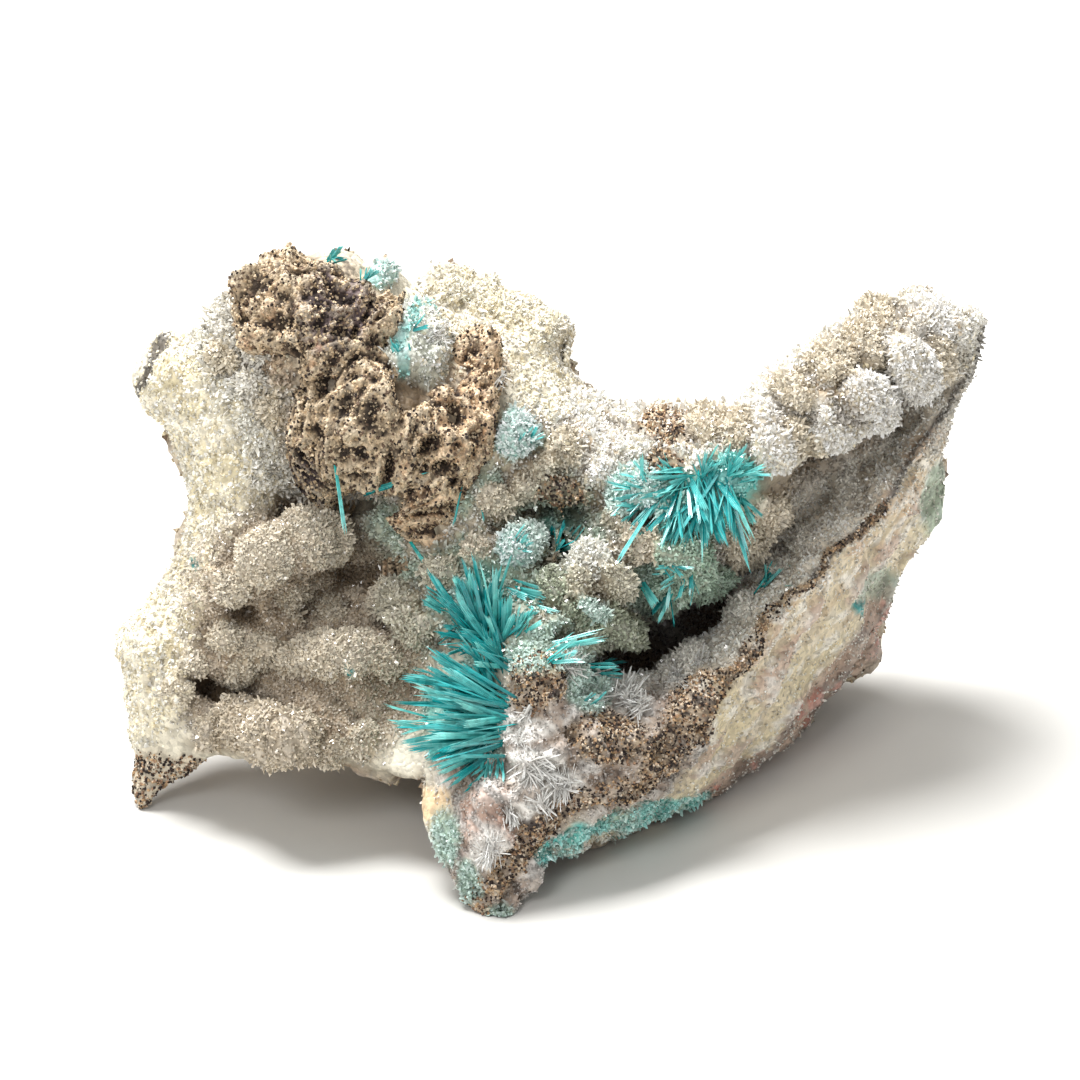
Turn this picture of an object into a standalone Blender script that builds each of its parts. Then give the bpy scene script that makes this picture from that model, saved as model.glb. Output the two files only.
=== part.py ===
"""Hemimorphite hand specimen: a broken piece of vein rock with two crystal-lined hollows, a spongy
brown gossan crown and sprays of blue-green needles.

Run with: blender --background --python part.py

The rock is laid out in its face frame, in millimetres: "across" runs left to right, "up" runs up the
face, and "out" comes out of it towards the viewer. The face leans back by FACE_LEAN, and turned()
brings its points into the world, in metres, where +Z is up and the specimen stands on Z = 0.
"""

import math

import bmesh
import bpy
import numpy as np
from mathutils import Matrix, Vector, noise

MM = 0.001
FACE_LEAN = math.radians(25.0)
CENTRE_ACROSS = -0.2
CENTRE_BACK = 27.8

GAP = 0.3
CRUST_GAP = 0.45
CRUST_THICKNESS = 0.6
CRYSTAL_HEIGHT = 0.5

LENGTHWISE = 130
FRONT_ROWS = 44
BACK_ROWS = 22
ROCK_TRIANGLES = 4100

# How far in from the outline the face and the back take to reach their full depth.
FACE_EDGE = 4.5
BACK_EDGE = 9.0

# Each station is one section of the rock, from the left end to the right end: the upper rim and the
# lower rim as (across, up, out), and how far the section bows to the right between them.
STATIONS = (
    ((-32.2, 36.3, -20.0), (-32.2, 36.3, -20.0), 0.0),
    ((-33.8, 41.9, -20.0), (-32.8, 31.9, -20.0), 1.4),
    ((-36.4, 45.1, -19.0), (-35.5, 27.5, -20.0), 5.2),
    ((-37.2, 47.3, -18.5), (-38.5, 24.1, -20.0), 8.1),
    ((-34.9, 50.9, -18.0), (-37.7, 19.5, -20.5), 8.0),
    ((-31.8, 50.5, -17.0), (-37.1, 13.4, -20.5), 7.9),
    ((-30.7, 51.6, -16.5), (-36.8, 9.2, -19.6), 7.8),
    ((-29.4, 54.0, -16.0), (-34.8, 10.7, -19.0), 6.8),
    ((-27.3, 53.9, -15.5), (-32.2, 12.5, -18.0), 5.4),
    ((-26.4, 55.6, -15.0), (-30.2, 14.0, -16.5), 4.6),
    ((-24.3, 56.9, -15.0), (-27.8, 13.6, -14.5), 3.4),
    ((-20.9, 57.7, -15.0), (-24.3, 13.5, -13.0), 1.8),
    ((-18.6, 58.3, -15.5), (-20.8, 13.5, -12.0), 0.9),
    ((-16.8, 57.0, -16.0), (-17.2, 13.1, -10.5), 0.0),
    ((-15.0, 57.6, -17.0), (-14.2, 12.1, -8.5), 0.0),
    ((-13.0, 55.6, -19.0), (-11.5, 11.6, -7.0), 0.0),
    ((-10.9, 57.0, -21.5), (-11.6, 9.7, -4.5), 0.0),
    ((-8.0, 56.7, -24.0), (-11.1, 7.0, -3.0), 0.0),
    ((-4.5, 54.9, -25.0), (-8.3, 2.1, -1.5), 0.0),
    ((-1.0, 53.3, -25.0), (-4.7, -0.3, 0.3), 0.0),
    ((1.1, 51.7, -24.5), (-2.3, 2.5, -2.0), 0.0),
    ((0.8, 49.9, -23.5), (-1.0, 4.6, -3.5), 0.0),
    ((0.9, 47.9, -22.5), (3.0, 6.2, -7.5), 0.0),
    ((3.7, 45.1, -21.0), (5.8, 7.4, -11.0), 0.0),
    ((9.2, 44.0, -20.0), (9.2, 8.7, -14.5), 0.0),
    ((12.7, 44.4, -19.5), (13.1, 9.8, -19.0), 0.0),
    ((16.4, 45.1, -20.0), (16.6, 12.3, -25.0), 0.0),
    ((19.3, 47.4, -21.0), (21.0, 14.6, -30.7), 0.0),
    ((21.7, 49.3, -22.0), (23.2, 18.0, -32.0), 0.0),
    ((25.0, 51.7, -24.0), (27.5, 22.2, -34.0), 0.0),
    ((28.5, 53.7, -26.0), (30.7, 29.7, -36.0), 0.0),
    ((32.0, 54.5, -28.0), (34.3, 34.9, -36.5), 0.0),
    ((34.7, 53.5, -30.0), (34.3, 40.7, -35.5), 0.0),
    ((36.9, 53.2, -32.0), (36.4, 46.8, -34.5), 0.0),
    ((38.2, 52.3, -33.5), (38.2, 52.3, -33.5), 0.0),
)

# Where the face stands, as (across, up, out) at each of its places.
FACE_PLACES = {
    "gossan top edge": (-19.0, 56.0, -11.5),
    "upper gossan": (-22.5, 52.5, -9.5),
    "main gossan": (-16.0, 42.5, -7.5),
    "gossan right": (-8.0, 44.5, -9.0),
    "crown shoulder": (-28.5, 50.0, -12.5),
    "left wall, high": (-30.0, 43.5, -12.5),
    "left wall, middle": (-28.5, 36.5, -12.5),
    "left wall, low": (-32.5, 27.5, -14.5),
    "left foot, inner side": (-33.0, 18.5, -14.5),
    "left foot": (-35.0, 13.5, -17.5),
    "bowl, under the gossan": (-20.0, 35.5, -16.0),
    "bowl, dome": (-23.5, 31.0, -12.5),
    "bowl, deepest": (-20.0, 27.0, -17.0),
    "bowl, right side": (-14.5, 31.0, -14.5),
    "bowl, mound": (-19.0, 21.5, -11.5),
    "bowl, lower left": (-28.0, 23.0, -13.5),
    "bowl, slot over the lip": (-26.5, 18.5, -15.5),
    "lip": (-24.5, 15.5, -9.8),
    "lip, right end": (-15.5, 15.0, -9.0),
    "bowl, lower right": (-13.5, 19.5, -11.0),
    "middle, left side": (-12.0, 25.5, -9.0),
    "middle, over the sprays": (-9.5, 31.0, -8.5),
    "bed of the upper spray": (-6.0, 25.5, -6.5),
    "bed of the lower spray": (-6.5, 18.0, -5.0),
    "block, top step": (0.5, 23.0, -3.0),
    "block, face": (0.5, 17.0, -0.5),
    "block, left side": (-6.5, 10.5, 0.5),
    "block, foot": (-6.0, 4.5, 0.8),
    "block, middle": (0.5, 10.0, -0.8),
    "block, right side": (7.5, 12.5, -4.5),
    "crest, start": (12.0, 18.5, -9.0),
    "crest, first quarter": (15.0, 21.7, -11.8),
    "crest, low": (18.0, 25.0, -14.5),
    "crest, second quarter": (22.0, 28.7, -18.0),
    "crest, middle": (26.0, 32.5, -21.5),
    "crest, third quarter": (29.5, 36.8, -24.7),
    "crest, high": (33.0, 41.5, -28.0),
    "crest, last quarter": (35.2, 45.6, -30.2),
    "crest, tip": (37.0, 49.5, -32.0),
    "outer side, low": (14.5, 14.5, -15.0),
    "outer side, middle": (21.5, 21.5, -21.5),
    "outer side, high": (28.5, 30.0, -28.5),
    "outer side, top": (32.5, 37.0, -31.5),
    "dark hollow, left": (7.5, 23.5, -17.0),
    "dark hollow, right": (12.5, 25.5, -19.0),
    "channel, low": (18.0, 30.0, -20.0),
    "channel, middle": (23.0, 35.5, -22.5),
    "channel, high": (29.5, 42.5, -26.5),
    "channel, top": (34.5, 47.5, -30.5),
    "ball bank": (4.0, 28.5, -7.5),
    "middle bank": (-1.5, 31.0, -8.5),
    "green hollow": (1.0, 34.0, -11.5),
    "middle, grey": (0.5, 38.0, -10.5),
    "bed of the right spray": (12.5, 36.5, -9.5),
    "under the right spray": (11.0, 30.0, -11.0),
    "right of the right spray": (18.0, 36.5, -13.5),
    "upper bank, left": (4.0, 41.5, -12.5),
    "upper bank, middle": (11.0, 41.5, -11.0),
    "upper bank, right": (18.0, 41.5, -12.0),
    "knob, low": (26.0, 45.0, -14.5),
    "knob, high": (32.0, 49.5, -19.5),
    "bank, top": (28.5, 51.5, -21.0),
    "bank, end": (35.5, 51.0, -28.5),
    "blue shoulder": (-12.5, 50.5, -12.5),
    "cream shoulder": (-5.0, 50.5, -17.5),
    "cream slope": (-2.5, 46.0, -14.0),
    "cream slope, low": (-1.5, 41.5, -11.5),
    "cream, back edge": (-7.5, 54.5, -22.0),
}

# Where the back stands, in the same terms. The lowest places are cut flat by the ground.
BACK_PLACES = {
    "left side, high": (-33.0, 45.0, -25.0),
    "left side, middle": (-28.5, 36.5, -28.0),
    "left side, low": (-32.0, 23.0, -27.0),
    "left foot": (-35.0, 13.5, -23.0),
    "behind the bowl, high": (-22.5, 49.5, -26.0),
    "behind the bowl, middle": (-22.5, 36.5, -32.0),
    "behind the bowl, low": (-22.5, 23.0, -29.0),
    "behind the lip": (-20.0, 16.0, -20.0),
    "behind the gossan": (-15.5, 52.0, -29.0),
    "spine, high": (-6.5, 51.0, -34.0),
    "spine, middle": (-6.5, 39.0, -41.0),
    "spine, low": (-6.5, 27.5, -45.0),
    "rear foot, left": (-8.5, 19.5, -46.0),
    "rear foot, right": (4.0, 19.5, -50.0),
    "middle, high": (4.0, 36.5, -41.0),
    "middle, low": (4.0, 27.5, -47.0),
    "block, back": (-3.0, 10.0, -19.0),
    "block, underside": (-5.0, 4.0, -7.5),
    "right side, high": (14.5, 40.5, -33.0),
    "right side, middle": (14.5, 31.0, -42.0),
    "right side, low": (16.0, 20.5, -46.0),
    "wing, middle": (25.0, 40.5, -39.0),
    "wing, low": (25.0, 27.5, -44.0),
    "wing, top": (30.5, 48.5, -35.0),
    "wing, tip": (34.5, 48.5, -37.0),
}

# Lumps and pits of the face: centre (across, up), half-widths (along, across the lump), turn in
# degrees, and height out of the face, negative for a pit.
FACE_LUMPS = (
    ((-23.5, 31.0), (5.5, 2.4), 18, 1.6),
    ((-18.0, 22.0), (5.5, 2.4), 0, 1.6),
    ((-24.5, 15.6), (7.5, 1.6), 0, 1.4),
    ((-28.0, 19.0), (3.6, 1.3), -18, -2.4),
    ((-15.0, 25.6), (1.7, 1.7), 0, -1.8),
    ((-19.5, 35.6), (6.0, 1.6), 0, -2.0),
    ((-3.4, 32.8), (2.2, 2.2), 0, 1.8),
    ((3.5, 29.5), (2.4, 2.6), 0, 2.0),
    ((5.4, 25.8), (2.6, 2.2), 0, 2.4),
    ((-0.5, 34.0), (5.0, 1.6), 0, -1.8),
    ((-3.4, 42.0), (2.4, 2.4), 0, 1.6),
    ((-12.9, 50.6), (2.8, 2.8), 0, 1.4),
    ((18.5, 41.5), (3.0, 2.4), 0, 1.8),
    ((25.5, 44.0), (3.0, 2.2), 15, 2.2),
    ((31.5, 49.0), (3.2, 2.6), 0, 2.2),
    ((30.0, 46.2), (2.2, 1.6), 30, -2.2),
    ((9.0, 23.6), (6.0, 2.2), 10, -4.0),
    ((0.5, 21.5), (5.0, 2.4), 0, 1.4),
)

# Long forms of the face: points (across, up), half-width, height.
FACE_RIDGES = (
    (((9.0, 24.5), (16.0, 30.0), (22.0, 35.5), (28.0, 41.0), (33.5, 47.0)), 2.6, -3.0),
    (((37.8, 52.0), (34.0, 43.0), (29.3, 36.0), (21.5, 28.3), (14.0, 20.4), (8.0, 14.5)), 1.7, 2.0),
)


# Geometry helpers


def turned(points):
    """Face-frame millimetres (across, up, out) as world metres."""
    across, up, out = np.moveaxis(np.asarray(points, float), -1, 0)
    back = up * math.sin(FACE_LEAN) - out * math.cos(FACE_LEAN)
    high = up * math.cos(FACE_LEAN) + out * math.sin(FACE_LEAN)
    return np.stack([across - CENTRE_ACROSS, back - CENTRE_BACK, high], axis=-1) * MM


def through(rows, count):
    """A smooth curve through the rows, read at count even places: a Catmull-Rom spline."""
    rows = np.asarray(rows, float)
    place = np.linspace(0, len(rows) - 1, count)
    i = np.minimum(place.astype(int), len(rows) - 2)
    t = (place - i)[:, None]
    before, here, after, last = (
        rows[np.clip(i + k, 0, len(rows) - 1)] for k in (-1, 0, 1, 2)
    )
    return 0.5 * (
        2 * here
        + (after - before) * t
        + (2 * before - 5 * here + 4 * after - last) * t**2
        + (3 * here - before - 3 * after + last) * t**3
    )


def sheet_through(places):
    """A smooth sheet through the places, as a function of (across, up): a multiquadric surface."""
    across, up, out = np.array(list(places.values())).T
    softness = 3.0

    def pull(a, b):
        spread = (a[..., None] - across) ** 2 + (b[..., None] - up) ** 2
        return np.sqrt(spread + softness**2)

    middle = out.mean()
    weights = np.linalg.solve(pull(across, up), out - middle)
    return lambda a, b: middle + pull(a, b) @ weights


def lump(across, up, centre, half_widths, turn, height):
    """A bell-shaped bump, oval and turned."""
    a = math.radians(turn)
    x, y = across - centre[0], up - centre[1]
    along = (x * math.cos(a) + y * math.sin(a)) / half_widths[0]
    over = (y * math.cos(a) - x * math.sin(a)) / half_widths[1]
    return height * np.exp(-(along**2 + over**2))


def from_line(across, up, points):
    """The distance of each point from a line of points."""
    nearest = np.full(np.shape(across), np.inf)
    for (x0, y0), (x1, y1) in zip(points, points[1:]):
        dx, dy = x1 - x0, y1 - y0
        t = np.clip(((across - x0) * dx + (up - y0) * dy) / (dx * dx + dy * dy), 0, 1)
        nearest = np.minimum(nearest, np.hypot(across - x0 - t * dx, up - y0 - t * dy))
    return nearest


def face_relief(across, up):
    total = sum(lump(across, up, *row) for row in FACE_LUMPS)
    for points, half_width, height in FACE_RIDGES:
        total = total + height * np.exp(-((from_line(across, up, points) / half_width) ** 2))
    return total


def rock_grid():
    """The rock's skin as a grid of face-frame points: one row for each section from left to right, and
    round each section from the upper rim down the front and back up behind."""
    rows = [(*u, *l, sweep) for u, l, sweep in STATIONS]
    sections = through(rows, LENGTHWISE)
    upper, lower, sweep = sections[:, None, 0:3], sections[:, None, 3:6], sections[:, None, 6]
    down = (1 - np.cos(np.linspace(0, math.pi, FRONT_ROWS + 1))) / 2
    rise = (1 + np.cos(np.linspace(0, math.pi, BACK_ROWS + 1)))[1:-1] / 2
    q = np.concatenate([down, rise])[None, :]
    on_front = np.arange(q.size)[None, :] <= FRONT_ROWS
    points = upper * (1 - q[..., None]) + lower * q[..., None]
    points[..., 0] += sweep * 4 * q * (1 - q)
    across, up, rim = np.moveaxis(points, -1, 0)
    outline = np.concatenate([sections[:, 0:2], sections[::-1, 3:5]])
    inwards = from_line(across, up, outline)
    inwards[:, [0, FRONT_ROWS]] = 0.0
    face = sheet_through(FACE_PLACES)(across, up) + face_relief(across, up)
    back = sheet_through(BACK_PLACES)(across, up)
    depth = np.where(on_front, face, back) - rim
    edge = np.clip(inwards / np.where(on_front, FACE_EDGE, BACK_EDGE), 0, 1)
    points[..., 2] = rim + depth * np.sqrt(1 - (1 - edge) ** 2)
    return points


# Building objects


def fresh_scene():
    for obj in list(bpy.data.objects):
        bpy.data.objects.remove(obj)
    made = []
    for name in ("hemimorphite specimen", "cutters"):
        collection = bpy.data.collections.new(name)
        bpy.context.scene.collection.children.link(collection)
        made.append(collection)
    return made


def finish_of(name, colour, roughness, transmission=0.0):
    material = bpy.data.materials.new(name)
    material.use_nodes = True
    shader = material.node_tree.nodes["Principled BSDF"]
    shader.inputs["Base Color"].default_value = (*colour, 1.0)
    shader.inputs["Roughness"].default_value = roughness
    shader.inputs["Transmission Weight"].default_value = transmission
    return material


def new_object(name, mesh, collection, material=None):
    obj = bpy.data.objects.new(name, mesh)
    collection.objects.link(obj)
    if material:
        mesh.materials.append(material)
    return obj


def new_cutter(name, mesh, collection):
    obj = new_object(name, mesh, collection)
    obj.hide_render = True
    obj.display_type = "WIRE"
    return obj


def mesh_from(name, built):
    """The bmesh as a mesh, its points brought from the face frame into the world."""
    points = turned([v.co[:] for v in built.verts])
    for vert, point in zip(built.verts, points):
        vert.co = point
    bmesh.ops.recalc_face_normals(built, faces=built.faces)
    mesh = bpy.data.meshes.new(name)
    built.to_mesh(mesh)
    built.free()
    return mesh


def rock_mesh(name, grid):
    """A closed skin over the grid: quads round the sections, closed to a point at both ends."""
    built = bmesh.new()
    sections, around = grid.shape[:2]
    rings = [[built.verts.new(point) for point in grid[i]] for i in range(1, sections - 1)]
    for ring, following in zip(rings, rings[1:]):
        for j in range(around):
            k = (j + 1) % around
            built.faces.new((ring[j], ring[k], following[k], following[j]))
    for end, ring in ((grid[0, 0], rings[0]), (grid[-1, 0], rings[-1])):
        tip = built.verts.new(end)
        for j in range(around):
            built.faces.new((tip, ring[j], ring[(j + 1) % around]))
    return mesh_from(name, built)


def settle_mesh(obj):
    """Applies the modifiers and keeps the largest piece."""
    graph = bpy.context.evaluated_depsgraph_get()
    mesh = bpy.data.meshes.new_from_object(obj.evaluated_get(graph))
    obj.modifiers.clear()
    obj.data = mesh
    built = bmesh.new()
    built.from_mesh(mesh)
    pieces, seen = [], set()
    for start in built.verts:
        if start in seen:
            continue
        piece, todo = [], [start]
        seen.add(start)
        while todo:
            vert = todo.pop()
            piece.append(vert)
            for edge in vert.link_edges:
                other = edge.other_vert(vert)
                if other not in seen:
                    seen.add(other)
                    todo.append(other)
        pieces.append(piece)
    pieces.sort(key=len)
    for piece in pieces[:-1]:
        bmesh.ops.delete(built, geom=piece, context="VERTS")
    bmesh.ops.triangulate(built, faces=built.faces)
    built.to_mesh(mesh)
    built.free()
    return obj


def combine(obj, other, operation):
    """One Boolean between two solids, settled."""
    step = obj.modifiers.new(other.name, "BOOLEAN")
    step.operation = operation
    step.object = other
    return settle_mesh(obj)


def thinned(obj, triangles):
    """Collapses short edges until about this many triangles are left."""
    obj.data.calc_loop_triangles()
    thin = obj.modifiers.new("thinning", "DECIMATE")
    thin.ratio = triangles / len(obj.data.loop_triangles)
    return settle_mesh(obj)


def moved_copy(obj, label, move, collection):
    """A cutter of the object's own shape, moved by (across, up, out) so that it leaves a gap."""
    step = Vector(turned(move)) - Vector(turned((0.0, 0.0, 0.0)))
    cutter = new_cutter(f"{obj.name}_{label}", obj.data.copy(), collection)
    cutter.data.transform(Matrix.Translation(step))
    return cutter


def inside(outline, across, up):
    """Whether a point of the face is within an outline of (across, up) corners."""
    crossings = 0
    for (x0, y0), (x1, y1) in zip(outline, outline[1:] + outline[:1]):
        if (y0 > up) != (y1 > up):
            crossings += across < x0 + (up - y0) * (x1 - x0) / (y1 - y0)
    return crossings % 2 == 1


def crust(name, outline, rock, parts, material):
    """The crystal lining of a hollow: the rock's facets within the outline, lifted off it, thickened and
    each raised into a low pyramid."""
    built = bmesh.new()
    built.from_mesh(rock.data)
    built.normal_update()
    lean = Vector((0.0, -math.cos(FACE_LEAN), math.sin(FACE_LEAN)))
    origin = Vector(turned((0.0, 0.0, 0.0)))
    rise = Vector(turned((0.0, 1.0, 0.0))) - origin

    def wanted(face):
        middle = face.calc_center_median() - origin
        across, up = middle.x / MM, middle.dot(rise) / MM / MM
        return face.normal.dot(lean) > 0.2 and inside(outline, across, up)

    bmesh.ops.delete(built, geom=[f for f in built.faces if not wanted(f)], context="FACES")
    pinched = True
    while pinched:
        pinched = [v for v in built.verts if sum(e.is_boundary for e in v.link_edges) > 2]
        bmesh.ops.delete(built, geom=pinched, context="VERTS")
    bmesh.ops.translate(built, verts=built.verts, vec=lean * CRUST_GAP * MM)
    raised = bmesh.ops.extrude_face_region(built, geom=list(built.faces))["geom"]
    top = [part for part in raised if isinstance(part, bmesh.types.BMFace)]
    bmesh.ops.translate(
        built, verts=list({v for f in top for v in f.verts}), vec=lean * CRUST_THICKNESS * MM
    )
    bmesh.ops.poke(built, faces=top, offset=CRYSTAL_HEIGHT * MM)
    bmesh.ops.recalc_face_normals(built, faces=built.faces)
    mesh = bpy.data.meshes.new(name)
    built.to_mesh(mesh)
    built.free()
    return settle_mesh(new_object(name, mesh, parts, material))


def gossan(name, lumps, parts, cutters, material):
    """Brown spongy lumps grown into one: rough ovals united."""
    made = None
    for index, (place, half_widths) in enumerate(lumps):
        built = bmesh.new()
        bmesh.ops.create_icosphere(built, subdivisions=4, radius=1.0)
        for vert in built.verts:
            seat = Vector([c + h * v for c, h, v in zip(place, half_widths, vert.co)])
            rough = 0.9 * noise.noise(seat * 0.55) + 0.5 * noise.noise(seat * 1.3)
            vert.co = seat + rough * vert.co
        mesh = mesh_from(f"{name}_lump_{index}", built)
        if made is None:
            made = new_object(name, mesh, parts, material)
        else:
            combine(made, new_cutter(mesh.name, mesh, cutters), "UNION")
    return made


def spray(name, place, radii, aim, spread, needles, lengths, seed, parts, material):
    """A needle spray: faces of a small oval root drawn out into tapering needles."""
    rng = np.random.default_rng(seed)
    built = bmesh.new()
    bmesh.ops.create_icosphere(built, subdivisions=3, radius=1.0)
    for vert in built.verts:
        vert.co = Vector([c + r * v for c, r, v in zip(place, radii, vert.co)])
    built.normal_update()
    built.faces.ensure_lookup_table()
    aim = Vector(aim).normalized()
    facing = [f for f in built.faces if f.normal.angle(aim) < math.radians(spread)]
    chosen, used = [], set()
    for index in rng.permutation(len(facing)):
        face = facing[index]
        if len(chosen) < needles and not used & set(face.edges):
            chosen.append(face)
            used |= set(face.edges)
    drawn = bmesh.ops.extrude_discrete_faces(built, faces=chosen)["faces"]
    for face in drawn:
        along = face.normal.copy()
        centre = face.calc_center_median()
        length = rng.uniform(*lengths)
        for vert in face.verts:
            vert.co = centre + (vert.co - centre) * 0.45 + along * length
    return new_object(name, mesh_from(name, built), parts, material)


LEFT_HOLLOW = (
    (-31.0, 18.5), (-32.0, 24.5), (-30.5, 29.5), (-27.5, 32.5), (-22.0, 34.5), (-16.5, 33.0),
    (-12.5, 29.0), (-12.0, 24.5), (-12.5, 19.0), (-15.0, 16.2), (-20.0, 15.8), (-25.0, 16.4),
    (-28.5, 16.4),
)  # fmt: skip

RIGHT_CHANNEL = (
    (6.2, 25.0), (13.0, 32.0), (19.0, 37.8), (25.5, 43.0), (31.0, 47.8), (35.3, 50.2),
    (36.2, 48.0), (31.5, 41.6), (25.3, 34.6), (19.0, 28.6), (12.5, 22.4), (8.5, 20.6),
)  # fmt: skip

# The gossan's lumps: middle (across, up, out) and half-widths.
GOSSAN_LUMPS = (
    ((-22.3, 51.8, -12.0), (6.0, 5.6, 5.6)),
    ((-19.5, 47.0, -11.0), (5.6, 5.4, 5.6)),
    ((-16.0, 42.0, -9.5), (7.6, 5.0, 6.0)),
    ((-10.5, 42.6, -10.0), (4.8, 4.4, 5.0)),
    ((-8.0, 46.4, -12.0), (3.6, 4.0, 4.8)),
    ((-21.5, 40.4, -12.0), (4.0, 3.6, 4.6)),
    ((-12.0, 37.4, -10.4), (3.2, 3.6, 3.8)),
)

# The sprays: root's middle, root's half-widths, aim, spread in degrees, needles, lengths and seed.
SPRAYS = {
    "needle_spray_upper": ((-6.0, 24.0, -6.0), (1.9, 1.5, 1.5), (-0.35, 0.6, 0.7), 62, 34, (3.5, 6.5), 11),
    "needle_spray_lower": ((-5.0, 16.6, -3.8), (1.6, 2.2, 1.6), (-0.85, 0.0, 0.55), 62, 38, (4.5, 8.0), 12),
    "needle_spray_right": ((11.6, 38.4, -9.2), (4.2, 1.6, 1.6), (0.0, -0.7, 0.7), 72, 48, (4.5, 8.5), 13),
    "needle_spray_middle": ((-1.0, 26.0, -4.4), (1.3, 1.0, 1.0), (0.85, 0.1, 0.5), 50, 14, (3.5, 6.5), 14),
    "needle_fan_under_gossan": ((-17.4, 35.0, -14.2), (1.0, 0.8, 0.8), (0.5, -0.5, 0.7), 42, 8, (2.5, 4.5), 15),
}  # fmt: skip


def main():
    parts, cutters = fresh_scene()
    pale_rock = finish_of("pale crystalline rock", (0.72, 0.66, 0.52), 0.75)
    druse = finish_of("grey druse crystal", (0.62, 0.60, 0.56), 0.2, 0.4)
    brown_gossan = finish_of("brown gossan", (0.36, 0.25, 0.15), 0.95)
    needle_crystal = finish_of("blue-green needle crystal", (0.05, 0.55, 0.55), 0.25, 0.3)

    rock = new_object("matrix", rock_mesh("matrix", rock_grid()), parts, pale_rock)
    thinned(rock, ROCK_TRIANGLES)
    built = bmesh.new()
    bmesh.ops.create_cube(built, size=200.0)
    bmesh.ops.translate(built, verts=built.verts, vec=(0, 0, -100.0))
    bmesh.ops.scale(built, verts=built.verts, vec=(MM, MM, MM))
    ground = bpy.data.meshes.new("floor_cut")
    built.to_mesh(ground)
    built.free()
    combine(rock, new_cutter("floor_cut", ground, cutters), "DIFFERENCE")

    crust("druse_crust_left", LEFT_HOLLOW, rock, parts, druse)
    crust("druse_crust_right", RIGHT_CHANNEL, rock, parts, druse)

    forward = moved_copy(rock, "forward", (0.0, 0.0, 1.6 * GAP), cutters)
    upward = moved_copy(rock, "upward", (0.0, 1.6 * GAP, 0.0), cutters)
    crown = gossan("gossan_crown", GOSSAN_LUMPS, parts, cutters, brown_gossan)
    thinned(crown, 1500)
    combine(crown, forward, "DIFFERENCE")
    combine(crown, upward, "DIFFERENCE")

    for name, row in SPRAYS.items():
        combine(spray(name, *row, parts, needle_crystal), forward, "DIFFERENCE")


main()
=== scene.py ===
"""Looks of the hemimorphite specimen: fine rock skin, druse crystals, gossan and needle sprays.

The rock is laid out in its face frame, in millimetres: "across" runs left to right, "up" runs up the
face and "out" comes out of it. turned() brings face-frame points into the world, in metres.
"""

import itertools
import math

import bpy
import numpy as np
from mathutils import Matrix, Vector


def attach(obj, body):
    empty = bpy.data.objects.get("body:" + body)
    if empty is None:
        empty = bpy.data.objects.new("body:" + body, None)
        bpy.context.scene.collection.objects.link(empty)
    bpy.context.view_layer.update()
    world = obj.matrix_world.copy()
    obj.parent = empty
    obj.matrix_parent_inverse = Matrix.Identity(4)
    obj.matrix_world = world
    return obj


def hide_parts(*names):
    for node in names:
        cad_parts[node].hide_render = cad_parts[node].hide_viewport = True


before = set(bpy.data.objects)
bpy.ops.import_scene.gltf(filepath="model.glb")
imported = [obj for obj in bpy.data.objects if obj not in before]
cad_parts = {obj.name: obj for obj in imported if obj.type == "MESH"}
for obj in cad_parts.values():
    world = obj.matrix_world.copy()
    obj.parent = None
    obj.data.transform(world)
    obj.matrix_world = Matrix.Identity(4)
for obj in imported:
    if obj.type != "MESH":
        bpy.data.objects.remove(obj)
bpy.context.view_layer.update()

MM = 0.001
PIXEL = 0.088  # millimetres of the face to a pixel of the picture
FOOT_X, FOOT_Y = 556, 912  # where the front foot's tip shows in the picture
FACE_LEAN = math.radians(25.0)
CENTRE_ACROSS = -0.2
CENTRE_BACK = 27.8
FACE_EDGE = 4.5  # how far in from its edge the face and the back reach their full depth
BACK_EDGE = 9.0
ROWS, FRONT, BACK = 752, 384, 144  # of the grid: sections, and columns on the face and behind
EVENED = 36  # rows that are averaged to each side on the back
FADED = 26  # rows at each end of the rock where its relief dies away

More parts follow.
